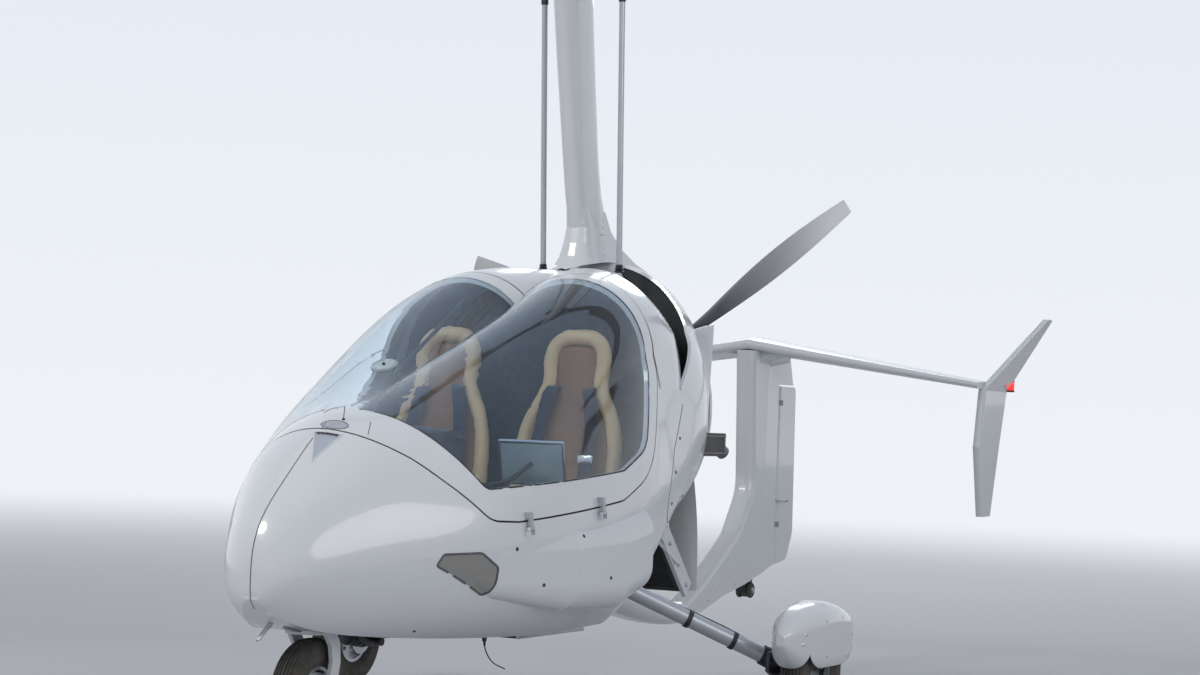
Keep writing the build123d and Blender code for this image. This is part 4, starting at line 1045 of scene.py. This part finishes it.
# ---------------------------------------------------------------- wheels
# half section of a tyre, columns: share of the width, share of the height above the bead
WALL = [(0.335, 0.0), (0.36, 0.03), (0.4, 0.07), (0.455, 0.2), (0.468, 0.215), (0.462, 0.235), (0.486, 0.36),
        (0.497, 0.5), (0.49, 0.62), (0.47, 0.71), (0.44, 0.79), (0.415, 0.835), (0.38, 0.872)]
# ribs of the tread, columns: outer edge, inner edge, height at each
RIBS = [(0.37, 0.305, 0.888, 0.922), (0.265, 0.195, 0.94, 0.962), (0.155, 0.085, 0.972, 0.984),
        (0.048, -0.048, 0.99, 0.99)]
DISC_X = 0.9085
# columns: node prefix, body, x, y, radius, width, bore, side of the valve
WHEELS = [("main_{}_left", "main_wheel_left", MAIN_X, MAIN_Y, MAIN_R, 0.104, 0.102, 1),
          ("main_{}_right", "main_wheel_right", -MAIN_X, MAIN_Y, MAIN_R, 0.104, 0.102, -1),
          ("nose_{}", "nose_wheel", 0.0, -1.7, 0.182, 0.096, 0.088, 1)]


def tyre_profile(r, w, bore):
    foot = bore + 0.006
    h = r - foot
    groove = 0.055 * h
    half = [(u * w, foot + v * h) for u, v in WALL]
    for a, b, va, vb in RIBS:
        ra, rb = foot + va * h, foot + vb * h
        if b > 0:
            half += [(a * w, ra - groove * 0.4), (a * w - 0.0012, ra), (b * w + 0.0012, rb), (b * w, rb - groove)]
        else:
            half += [(a * w, ra - groove), (a * w - 0.0012, ra), (0.0, ra + 0.0004)]
    return half + [(-u, v) for u, v in reversed(half[:-1])]


def wheel(names, body, x, y, r, w, bore, side):
    tyre, rim = names.format("tyre"), names.format("rim")

    def at(dx, radius, turns):
        t = math.tau * turns
        return x + dx, y + radius * math.cos(t), r + radius * math.sin(t)

    make(tyre + "_ribbed", [lathe(tyre_profile(r, w, bore), (x, y, r), X, 84, closed=True)], "tyre_rubber", EASY, body,
         (tyre,))
    bolts = [bolt_head(at(face * 0.0062, 0.06, (k + 0.5) / 8), (face, 0, 0), SCREW)
             for k in range(8) for face in (1, -1)]
    make(rim + "_bolts", bolts, "steel", CRISP, body)
    stem = [at(side * dx, radius, 0.19) for dx, radius in ((0.004, 0.08), (0.018, 0.081), (0.03, 0.078))]
    make(rim + "_valve", [tube(stem, 0.0035, 3, 10)], "rubber_seal", body=body)


def brake_and_leg(side, name):
    disc = hoop(-0.0025, 0.0025, 0.036, 0.074, (side * DISC_X, MAIN_Y, MAIN_R), (side, 0, 0), 60)
    make("brake_disc_" + name, [disc], "steel", CRISP, "main_wheel_" + name)
    jaws = [block((0.026, 0.06, 0.046), (side * DISC_X, MAIN_Y - 0.058, MAIN_R + 0.04), 0.007, turned(40)),
            block((0.04, 0.02, 0.03), (side * 0.885, MAIN_Y - 0.05, MAIN_R + 0.052), 0.004)]
    # raised above the rim of the fairing, which closes the slot that the disc turns in
    jaws = [([p + Vector((0, -0.016, 0.026)) for p in v], f) for v, f in jaws]
    make("brake_caliper_" + name, jaws, "cast_alloy", CRISP)
    line = [(side * x, y, z) for x, y, z in ((0.884, 0.028, 0.292), (0.872, 0.012, 0.3), (0.84, 0.012, 0.276),
                                             (0.7, -0.06, 0.352), (0.56, -0.155, 0.424), (0.47, -0.215, 0.47))]
    make("brake_line_" + name, [tube(line, 0.0035, 6, 8)], "rubber_seal")
    # clamp rings and end fitting on the leg
    a, b = Vector((side * 0.398, -0.282, 0.485)), Vector((side * 0.862, 0.036, 0.236))
    d = (b - a).normalized()
    rings = [hoop(-0.008, 0.008, 0.0292, 0.033, a + d * s, d) for s in (0.26, 0.44)]
    rings.append(lathe([(-0.03, 0.0292), (-0.03, 0.0355), (0.01, 0.0375), (0.012, 0.0292)], a + d * 0.585, d, 28,
                       closed=True))
    make("leg_clamps_" + name, rings, "black_plastic", CRISP)
    spots = ((0.0, 0.25), (0.048, 0.262), (0.12, 0.222), (0.105, 0.2), (0.06, 0.19))
    bolts = [bolt_head((side * 0.848, y, z), (-side, 0, 0), 0.008) for y, z in spots]
    make("leg_bracket_bolts_" + name, bolts, "steel", CRISP)
    tree, heads = tree_of("wheel_fairing_" + name), []
    for spot in ((-0.13, 0.318), (0.015, 0.395), (0.19, 0.4), (0.36, 0.33)):
        for face in (1, -1):
            heads += screws_on(tree, (spot,), face, SCREW, side * MAIN_X, 0.4)
    make("fairing_screws_" + name, heads, "steel", CRISP)


for row in WHEELS:
    wheel(*row)
for side, name in SIDES:
    brake_and_leg(side, name)


# ---------------------------------------------------------------- nose
def nose_cap():
    # domed tip that meets the hull without an edge, and the moulding line down its middle
    middle, tip_y, spokes, rings = 0.568, -2.0565, 64, 12
    verts = [(0.0, tip_y - 0.0006, middle)]
    for k in range(spokes):
        t = math.tau * k / spokes
        ex, ez = 0.1 * math.cos(t), 0.128 * math.sin(t)
        y1, y2 = (hit(HULL, (ex * f, -3.0, middle + ez * f), Y)[0].y for f in (1.0, 1.06))
        power = max(1.6, min(4.5, (y2 - y1) / 0.06 / (y1 - tip_y)))
        verts += [(ex * f, tip_y + (y1 - tip_y) * f ** power - 0.0006 * (1 - f), middle + ez * f)
                  for f in [j / rings for j in range(1, rings + 1)]]
    faces = []
    for k in range(spokes):
        a, b = 1 + k * rings, 1 + ((k + 1) % spokes) * rings
        faces.append((0, a, b))
        faces += [(a + j, a + j + 1, b + j + 1, b + j) for j in range(rings - 1)]
    make("nose_cap", [(verts, faces)], "gelcoat", SOFT)
    dome = tree_of("nose_cap")
    spine = []
    for k in range(90):
        found = [hit(tree, (0, -3, 0.992 - 0.524 * k / 89), Y) for tree in (HULL, dome)]
        spine.append(min([got for got in found if got], key=lambda got: got[0].y))
    make("nose_moulding_line", [ribbon(spine, 0.003)], "hairline")


def nose_gear():
    # trailing link with its shock rubbers behind the wheel, hung from the grey plate under the belly
    parts = []
    for side in (1, -1):
        joint = (side * 0.036, -1.37, 0.335)
        parts.append(tube([(side * 0.04, -1.5, 0.372), (side * 0.038, -1.44, 0.34), joint], 0.009, 5, 12))
        parts.append(tube([joint, (side * 0.038, -1.32, 0.352)], 0.009, 5, 12))
    parts.append(lathe([(-0.06, 0.014), (0.06, 0.014)], (0, -1.37, 0.335), X, 20))
    parts += [lathe([(-0.012, 0.018), (-0.009, 0.026), (0.009, 0.026), (0.012, 0.018)],
                    (0, -1.485 + 0.028 * k, 0.352 - 0.004 * k), (0, 1, -0.12), 24) for k in range(4)]
    make("nose_gear_link", parts, "dark_metal", EASY)
    outline = [(-0.085, -1.405, 0.349), (0.085, -1.405, 0.349), (0.105, -1.33, 0.351), (0.095, -1.235, 0.353),
               (-0.095, -1.235, 0.353), (-0.105, -1.33, 0.351)]
    make("belly_plate", [plate(outline, Z, 0.012)], "shadow_grey", FLAT)
    heads = [screw_head((x, y, 0.3495), (0, 0, -1), 0.005) for x in (-0.08, 0.08) for y in (-1.385, -1.32, -1.255)]
    make("belly_plate_screws", heads, "steel", CRISP)
    verts, faces = lathe([(-0.002, 0.046), (0.0025, 0.046), (0.004, 0.04), (0.004, 0.0)], (0, 0, 0), Z, 40)
    place, out = hit(tree_of("fuselage_tub"), (0.03, -1.86, 0.1), Z)
    turn = Vector(Z).rotation_difference(out).to_matrix()
    verts = [turn @ Vector((v.x * 0.55, v.y, v.z)) + place for v in verts]
    make("chin_cover", [(verts, faces)], "shadow_grey", CRISP)
    nuts = []
    for side in (1, -1):
        for head, y, z, r in ((bolt_head, -1.7, 0.182, 0.0155), (screw_head, -1.672, 0.33, 0.005),
                              (screw_head, -1.69, 0.25, 0.005)):
            nuts.append(head((side * 0.0665, y, z), (side, 0, 0), r))
    make("nose_axle_nuts", nuts, "steel", CRISP, "nose_steer")


nose_cap()
nose_gear()

# ---------------------------------------------------------------- mast, head and rotor
# smooth mast that flares into its foot, columns: z, y of the front, y of the back, half thickness
MAST_ROWS = [(1.768, 0.018, 0.287, 0.0505), (1.784, 0.012, 0.275, 0.0495), (1.81, 0.004, 0.256, 0.048),
             (1.86, -0.012, 0.22, 0.0465), (1.921, -0.0295, 0.1885, 0.046), (2.0, -0.048, 0.164, 0.046),
             (2.068, -0.064, 0.148, 0.046), (2.2, -0.094, 0.125, 0.046), (2.362, -0.132, 0.098, 0.046),
             (2.5, -0.162, 0.077, 0.046), (2.62, -0.187, 0.06, 0.046), (2.672, -0.196, 0.053, 0.046),
             (2.679, -0.19, 0.047, 0.04)]
MAST_STEPS = 40
PARKED = turned(32.0, "Z")    # the rotor's angle at rest


def mast_shell():
    verts = []
    for z, y0, y1, t in MAST_ROWS:
        a, mid = (y1 - y0) / 2, (y0 + y1) / 2
        for k in range(MAST_STEPS):
            w = math.tau * k / MAST_STEPS
            c, s = math.cos(w), math.sin(w)
            # blunt nose, sides nearly flat, finer tail
            side = t * math.copysign(abs(s) ** 0.62, s)
            verts.append((side * (1.0 if c < 0 else 1.0 - 0.1 * c), mid + a * math.copysign(abs(c) ** 0.86, c), z))
    make("mast_shell", [(verts, loft_faces(len(MAST_ROWS), MAST_STEPS))], "gelcoat", PADDED,
         stands_for=("mast_fairing",))


def smooth_step(t):
    return t * t * (3 - 2 * t)


def cowl_lip(x, cowl):
    # front edge of the cowl's skin on a line through x
    y = -0.02
    while y < 0.3:
        got = from_top(x, y, cowl)
        if got and got[0].z > 1.4:
            return got[0]
        y += 0.004
    return None


def neck_sweep():
    # skin that closes the gap between the neck and the cowl's lip beside the foot of the mast
    cowl = tree_of("engine_cowl")
    rows = []
    m = 7
    for i in range(17):
        x = -0.17 + 0.34 * i / 16
        back = cowl_lip(x, cowl)
        front = back and from_top(x, back.y - 0.085, NECK)
        if not front:
            continue
        f = smooth_step(max(0.0, min(1.0, (0.165 - abs(x)) / 0.075)))
        low = from_top(x, back.y + 0.004, NECK)
        end = Vector((x, back.y + 0.01, back.z * f + (low[0].z if low else back.z) * (1 - f) - 0.0005))
        a = front[0] + Vector((0, 0, 0.0008))
        row = [Vector((x, a.y + (end.y - a.y) * t, a.z + (end.z - a.z) * smooth_step(t)))
               for t in [k / (m - 1) for k in range(m)]]
        rows.append(row + [v - Vector((0, 0, 0.004)) for v in row])
    faces = []
    for i in range(len(rows) - 1):
        o, q = i * 2 * m, (i + 1) * 2 * m
        for k in range(m - 1):
            faces.append((o + k, o + k + 1, q + k + 1, q + k))
            faces.append((o + m + k, q + m + k, q + m + k + 1, o + m + k + 1))
        faces.append((o, q, q + m, o + m))
        faces.append((o + m - 1, o + 2 * m - 1, q + 2 * m - 1, q + m - 1))
    for base in (0, (len(rows) - 1) * 2 * m):
        faces += [(base + k, base + m + k, base + m + k + 1, base + k + 1) for k in range(m - 1)]
    make("neck_sweep", [([v for row in rows for v in row], faces)], "gelcoat", SOFT)


def mast_trim():
    bpy.context.view_layer.update()
    mast = tree_of("mast_shell")
    foot = tree_of("mast_collar", "roof_neck", "engine_cowl", "mast_shell")
    line = [Vector((0.012 + 0.008 * k, 1.7705)) for k in range(36)]
    make("mast_seam", skin_lines(line, 0.0022, mast, 0.02, sides=(1, -1)), "hairline")
    heads = []
    for side in (1, -1):
        down = [(0.155 - 0.1 * (z - 1.64), z) for z in (1.64, 1.668, 1.696, 1.724, 1.75)]
        heads += screws_on(foot, down, side, 0.0045)
        heads += screws_on(mast, [(y, z) for z in (1.8, 1.83) for y in (0.02, 0.16)], side, 0.0045)
    make("mast_screws", heads, "steel", CRISP)
    ends = []
    for side in (1, -1):
        lo, hi = Vector((side * 0.159, 0.084, 1.59)), Vector((side * 0.162, 0.01, 2.686))
        d = (hi - lo).normalized()
        ends.append(lathe([(-0.02, 0.0112), (-0.018, 0.0138), (0.01, 0.0138), (0.014, 0.01), (0.03, 0.01)],
                          hi - d * 0.036, d, 20))
        ends.append(lathe([(-0.012, 0.01), (-0.011, 0.019), (0.011, 0.019), (0.012, 0.01)], hi, X, 24))
        ends.append(bolt_head(hi + Vector((side * 0.024, 0, 0)), (side, 0, 0), 0.008))
        # boot where the rod enters the cowl
        ends += [lathe([(-0.006, 0.0112), (0.0, 0.021 - 0.003 * k), (0.006, 0.0112)], lo + d * (0.04 + 0.01 * k), d,
                       20, closed=True) for k in range(3)]
    make("rod_ends", ends, "dark_metal", CRISP)


def make_parked(name, parts, mat, body):
    # pieces laid out with the blades straight across, turned with the parked rotor
    verts, faces = join(parts)
    make(name, [([PARKED @ v for v in verts], faces)], mat, CRISP, body)


def rotor_trim():
    parts, bolts, caps, tabs, head = [], [], [], [], []
    for side in (1, -1):
        for x, z, r in ((0.0, 2.902, 0.012), (-0.022, 2.85, 0.006), (0.022, 2.85, 0.006)):
            parts.append(bolt_head((x, side * 0.066, z), (0, side, 0), r))
        for k in range(5):
            for y in (-0.022, 0.022):
                for z, up in ((2.891, 1), (2.853, -1)):
                    bolts.append(bolt_head((side * (0.225 + 0.062 * k), y, z), (0, 0, up), 0.0065))
        # tip caps with their balance screws, and the trim tabs behind the blades
        caps.append(block((0.006, 0.2, 0.022), (side * 4.296, -side * 0.04, 2.8725), 0.004))
        for y, z in ((0.03, 2.8725), (-0.06, 2.8705)):
            caps.append(screw_head((side * 4.299, side * y, z), (side, 0, 0), 0.004))
        tabs.append(block((0.3, 0.03, 0.0014), (side * 3.25, -side * 0.16, 2.8675), 0.0005))
        for x, y, z, r in ((0.044, -0.03, 2.71, 0.011), (0.185, 0.014, 2.696, 0.008)):
            head.append(bolt_head((side * x, y, z), (side, 0, 0), r))
    make_parked("tower_bolts", parts, "steel", "rotor_spindle")
    make_parked("blade_bolts", bolts, "steel", "rotor")
    make_parked("blade_tips", caps, "shadow_grey", "rotor")
    make_parked("trim_tabs", tabs, "bare_alloy", "rotor")
    # gimbal bolts, bearing bolts, prerotator gear and its shroud
    head += [bolt_head((0.033 * math.cos(math.tau * k / 6), 0.033 * math.sin(math.tau * k / 6), 2.8138), Z, 0.0035)
             for k in range(6)]
    head += [bolt_head((x, y, 2.76), Z, 0.006) for x in (-0.045, 0.045) for y in (-0.11, 0.045)]
    make("head_bolts", head, "steel", CRISP)
    bands = [hoop(-0.052, -0.044, 0.0262, 0.03, (-0.048, -0.128, 2.71 + 0.052 * k), Z) for k in range(3)]
    make("prerotator_bands", bands, "dark_metal", CRISP)


def prop_trim():
    _, y0, z0 = PROP_AT
    parts, cuffs = [], []
    for k in range(6):
        t = math.radians(38 + 60 * k + 30)
        for aft, r in ((1, 0.0062), (-1, 0.0055)):
            parts.append(bolt_head((0.05 * math.cos(t), y0 + aft * 0.033, z0 + 0.05 * math.sin(t)), (0, aft, 0), r))
    parts.append(lathe([(0.0, 0.03), (0.01, 0.029), (0.016, 0.02), (0.017, 0.0)], (0, y0 + 0.051, z0), Y, 36))
    make("prop_bolts", parts, "steel", CRISP, "propeller")
    cuff = [(-0.016, 0.0335), (-0.014, 0.0365), (0.008, 0.0365), (0.012, 0.0335), (0.012, 0.024), (-0.016, 0.024)]
    for k in range(3):
        t = math.radians(38 + 120 * k)
        d = Vector((math.cos(t), 0, math.sin(t)))
        cuffs.append(lathe(cuff, Vector(PROP_AT) + d * 0.087, d, 36, closed=True))
        across = d.cross(Vector(Y))
        cuffs += [bolt_head(Vector(PROP_AT) + d * 0.078 + across * s * 0.0355, across * s, 0.004) for s in (1, -1)]
    make("prop_cuffs", cuffs, "dark_metal", CRISP, "propeller")


mast_shell()
neck_sweep()
mast_trim()
rotor_trim()
prop_trim()

# ---------------------------------------------------------------- cooling, exhaust and belly
RADIATOR, RADIATOR_TILT = Vector((0, 0.573, 0.565)), turned(46)
FIN_WIRE = [(-0.0003, -0.0008), (0.0003, -0.0008), (0.0003, 0.0008), (-0.0003, 0.0008)]


def in_radiator(x, y, z):
    return RADIATOR + RADIATOR_TILT @ Vector((x, y, z))


def radiator_trim():
    # tubes of the core and the folded fins between them
    core, tanks, heads, hoses = [], [], [], []
    for face in (1, -1):
        core += [block((0.34, 0.003, 0.0035), in_radiator(0, face * 0.0262, -0.154 + 0.014 * k), 0.001,
                       RADIATOR_TILT, 1) for k in range(23)]
        for k in range(22):
            z = -0.147 + 0.014 * k
            zig = [in_radiator(-0.168 + 0.0048 * j, face * 0.0264, z + (0.0042 if j % 2 else -0.0042))
                   for j in range(71)]
            core.append(sweep(zig, FIN_WIRE, RADIATOR_TILT @ Vector(Y)))
    make("radiator_core", core, "dark_metal")
    for s in (1, -1):
        for face in (1, -1):
            for size, x, z in (((0.384, 0.006, 0.026), 0, s * 0.176), ((0.018, 0.006, 0.378), s * 0.181, 0)):
                tanks.append(block(size, in_radiator(x, face * 0.0262, z), 0.002, RADIATOR_TILT))
    make("radiator_tanks", tanks, "black_plastic", CRISP)
    for side in (1, -1):
        heads += [bolt_head(in_radiator(side * 0.2085, 0, z), (side, 0, 0), 0.007) for z in (-0.18, -0.06, 0.06, 0.18)]
        hoses.append(tube([in_radiator(side * 0.13, -0.024, 0.15), in_radiator(side * 0.13, -0.075, 0.165),
                           (side * 0.13, 0.425, 0.735), (side * 0.12, 0.4, 0.8)], 0.017, 8, 16))
        hoses.append(hoop(-0.005, 0.005, 0.0172, 0.019, in_radiator(side * 0.13, -0.046, 0.155),
                          RADIATOR_TILT @ Vector((0, -1, 0.1)), 24))
    make("radiator_bolts", heads, "steel", CRISP)
    make("radiator_hoses", hoses, "rubber_seal", EASY)
    fins = [block((0.292, 0.0022, 0.012), (0, -0.585 + 0.0135 * k, 0.3085), 0.0008, None, 1) for k in range(36)]
    make("belly_cooler_fins", fins, "dark_metal")
    rails = [block((0.008, 0.52, 0.02), (s * 0.149, -0.345, 0.3125), 0.002) for s in (1, -1)]
    make("belly_cooler_rails", rails, "bare_alloy")


def exhaust_trim():
    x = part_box("exhaust_box")[1][0] - 0.0005
    seams = [block((0.004, 0.236, 0.006), (x, 0.64, z), 0.001) for z in (0.962, 1.028)]
    seams += [block((0.004, 0.006, 0.086), (x, y, 0.995), 0.001) for y in (0.535, 0.745)]
    make("exhaust_seams", seams, "heat_steel")
    # open pipe: an outer and an inner wall, joined at both ends
    pipe = smooth_path([(0.29, 0.735, 0.985), (0.292, 0.775, 0.978), (0.3, 0.805, 0.962)], 6)
    walls = [sweep(pipe, ring(r, 24)) for r in (0.027, 0.0245)]
    verts, faces = join([(v, f[:-2]) for v, f in walls])
    m = len(verts) // 2
    for base in (m - 24, 0):
        faces += [(base + k, base + (k + 1) % 24, m + base + (k + 1) % 24, m + base + k) for k in range(24)]
    make("exhaust_pipe", [(verts, faces)], "heat_steel", EASY)


def belly_fittings():
    base = Vector((0.096, -0.744, 0.3))
    bends = ((0, 0, 0.01), (0.0, 0.01, -0.03), (0.002, 0.06, -0.075), (0.004, 0.15, -0.105))
    whip = smooth_path([base + Vector(bend) for bend in bends], 8)
    foot = [(-0.004, 0.0022), (-0.004, 0.0048), (0.014, 0.004), (0.016, 0.0022)]
    make("antenna_whip", [sweep(whip, ring(0.0022, 8)), lathe(foot, base, (0, 0.1, -1), 16)], "black_plastic",
         EASY)
    tip = Vector((0, -1.99, 0.384))
    d = (tip - Vector((0, -1.89, 0.452))).normalized()
    mouth = [(0.0, 0.0072), (0.012, 0.006), (0.02, 0.004), (0.02, 0.0022), (0.004, 0.002)]
    make("pitot_head", [lathe(mouth, tip, d, 20), hoop(-0.006, 0.004, 0.0072, 0.0088, tip - d * 0.05, d, 20)],
         "bare_alloy", CRISP)


# ---------------------------------------------------------------- tail
def tail_trim():
    fin, heads = tree_of("fin"), []
    for spot in ((1.42, 0.4), (1.58, 0.4), (1.74, 0.42), (1.3, 0.34), (1.16, 0.31)):
        for side in (1, -1):
            heads += screws_on(fin, (spot,), side, 0.005, reach=0.6)
    make("fin_screws", heads, "steel", CRISP)
    horn = [(-0.085, 2.07), (-0.08, 2.11), (0.08, 2.11), (0.085, 2.07), (0.03, 2.062), (-0.03, 2.062)]
    make("rudder_horn", [plate([(x, y, 0.742) for x, y in horn], Z, 0.005)], "bare_alloy", body="rudder")
    bolts = [bolt_head((s * 0.074, 2.086, 0.747), Z, 0.005) for s in (1, -1)]
    make("rudder_horn_bolts", bolts, "steel", CRISP, body="rudder")
    covers = [screw_head((side * 0.0115, 2.045, z), (side, 0, 0), 0.0032) for z in (0.64, 1.18) for side in (1, -1)]
    make("rudder_hinge_screws", covers, "steel", CRISP)
    # small wheels of the tail bumper
    low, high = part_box("tail_bumper")
    at = Vector((0, (low[1] + high[1]) / 2 + 0.004, low[2] + 0.03))
    tread = [(0.0, 0.01), (0.0, 0.03), (0.004, 0.034), (0.012, 0.034), (0.016, 0.03), (0.016, 0.01)]
    make("tail_bumper_wheels", [lathe(tread, at + Vector((side * 0.0165, 0, 0)), (side, 0, 0), 32)
                                for side in (1, -1)], "tyre_rubber", CRISP)
    make("tail_bumper_bolts", [bolt_head(at + Vector((side * 0.0325, 0, 0)), (side, 0, 0), 0.009)
                               for side in (1, -1)], "steel", CRISP)
    for side, name in SIDES:
        shoes = [lathe(profile, (side * 1.016, 2.292, 1.29), Z, 28, closed=True) for profile in (
            [(-0.026, 0.01), (-0.026, 0.016), (-0.0185, 0.0165), (-0.0185, 0.01)],
            [(0.0185, 0.01), (0.0185, 0.0165), (0.025, 0.015), (0.026, 0.01)])]
        make("nav_light_shoe_" + name, shoes, "black_plastic", CRISP)


radiator_trim()
exhaust_trim()
belly_fittings()
tail_trim()
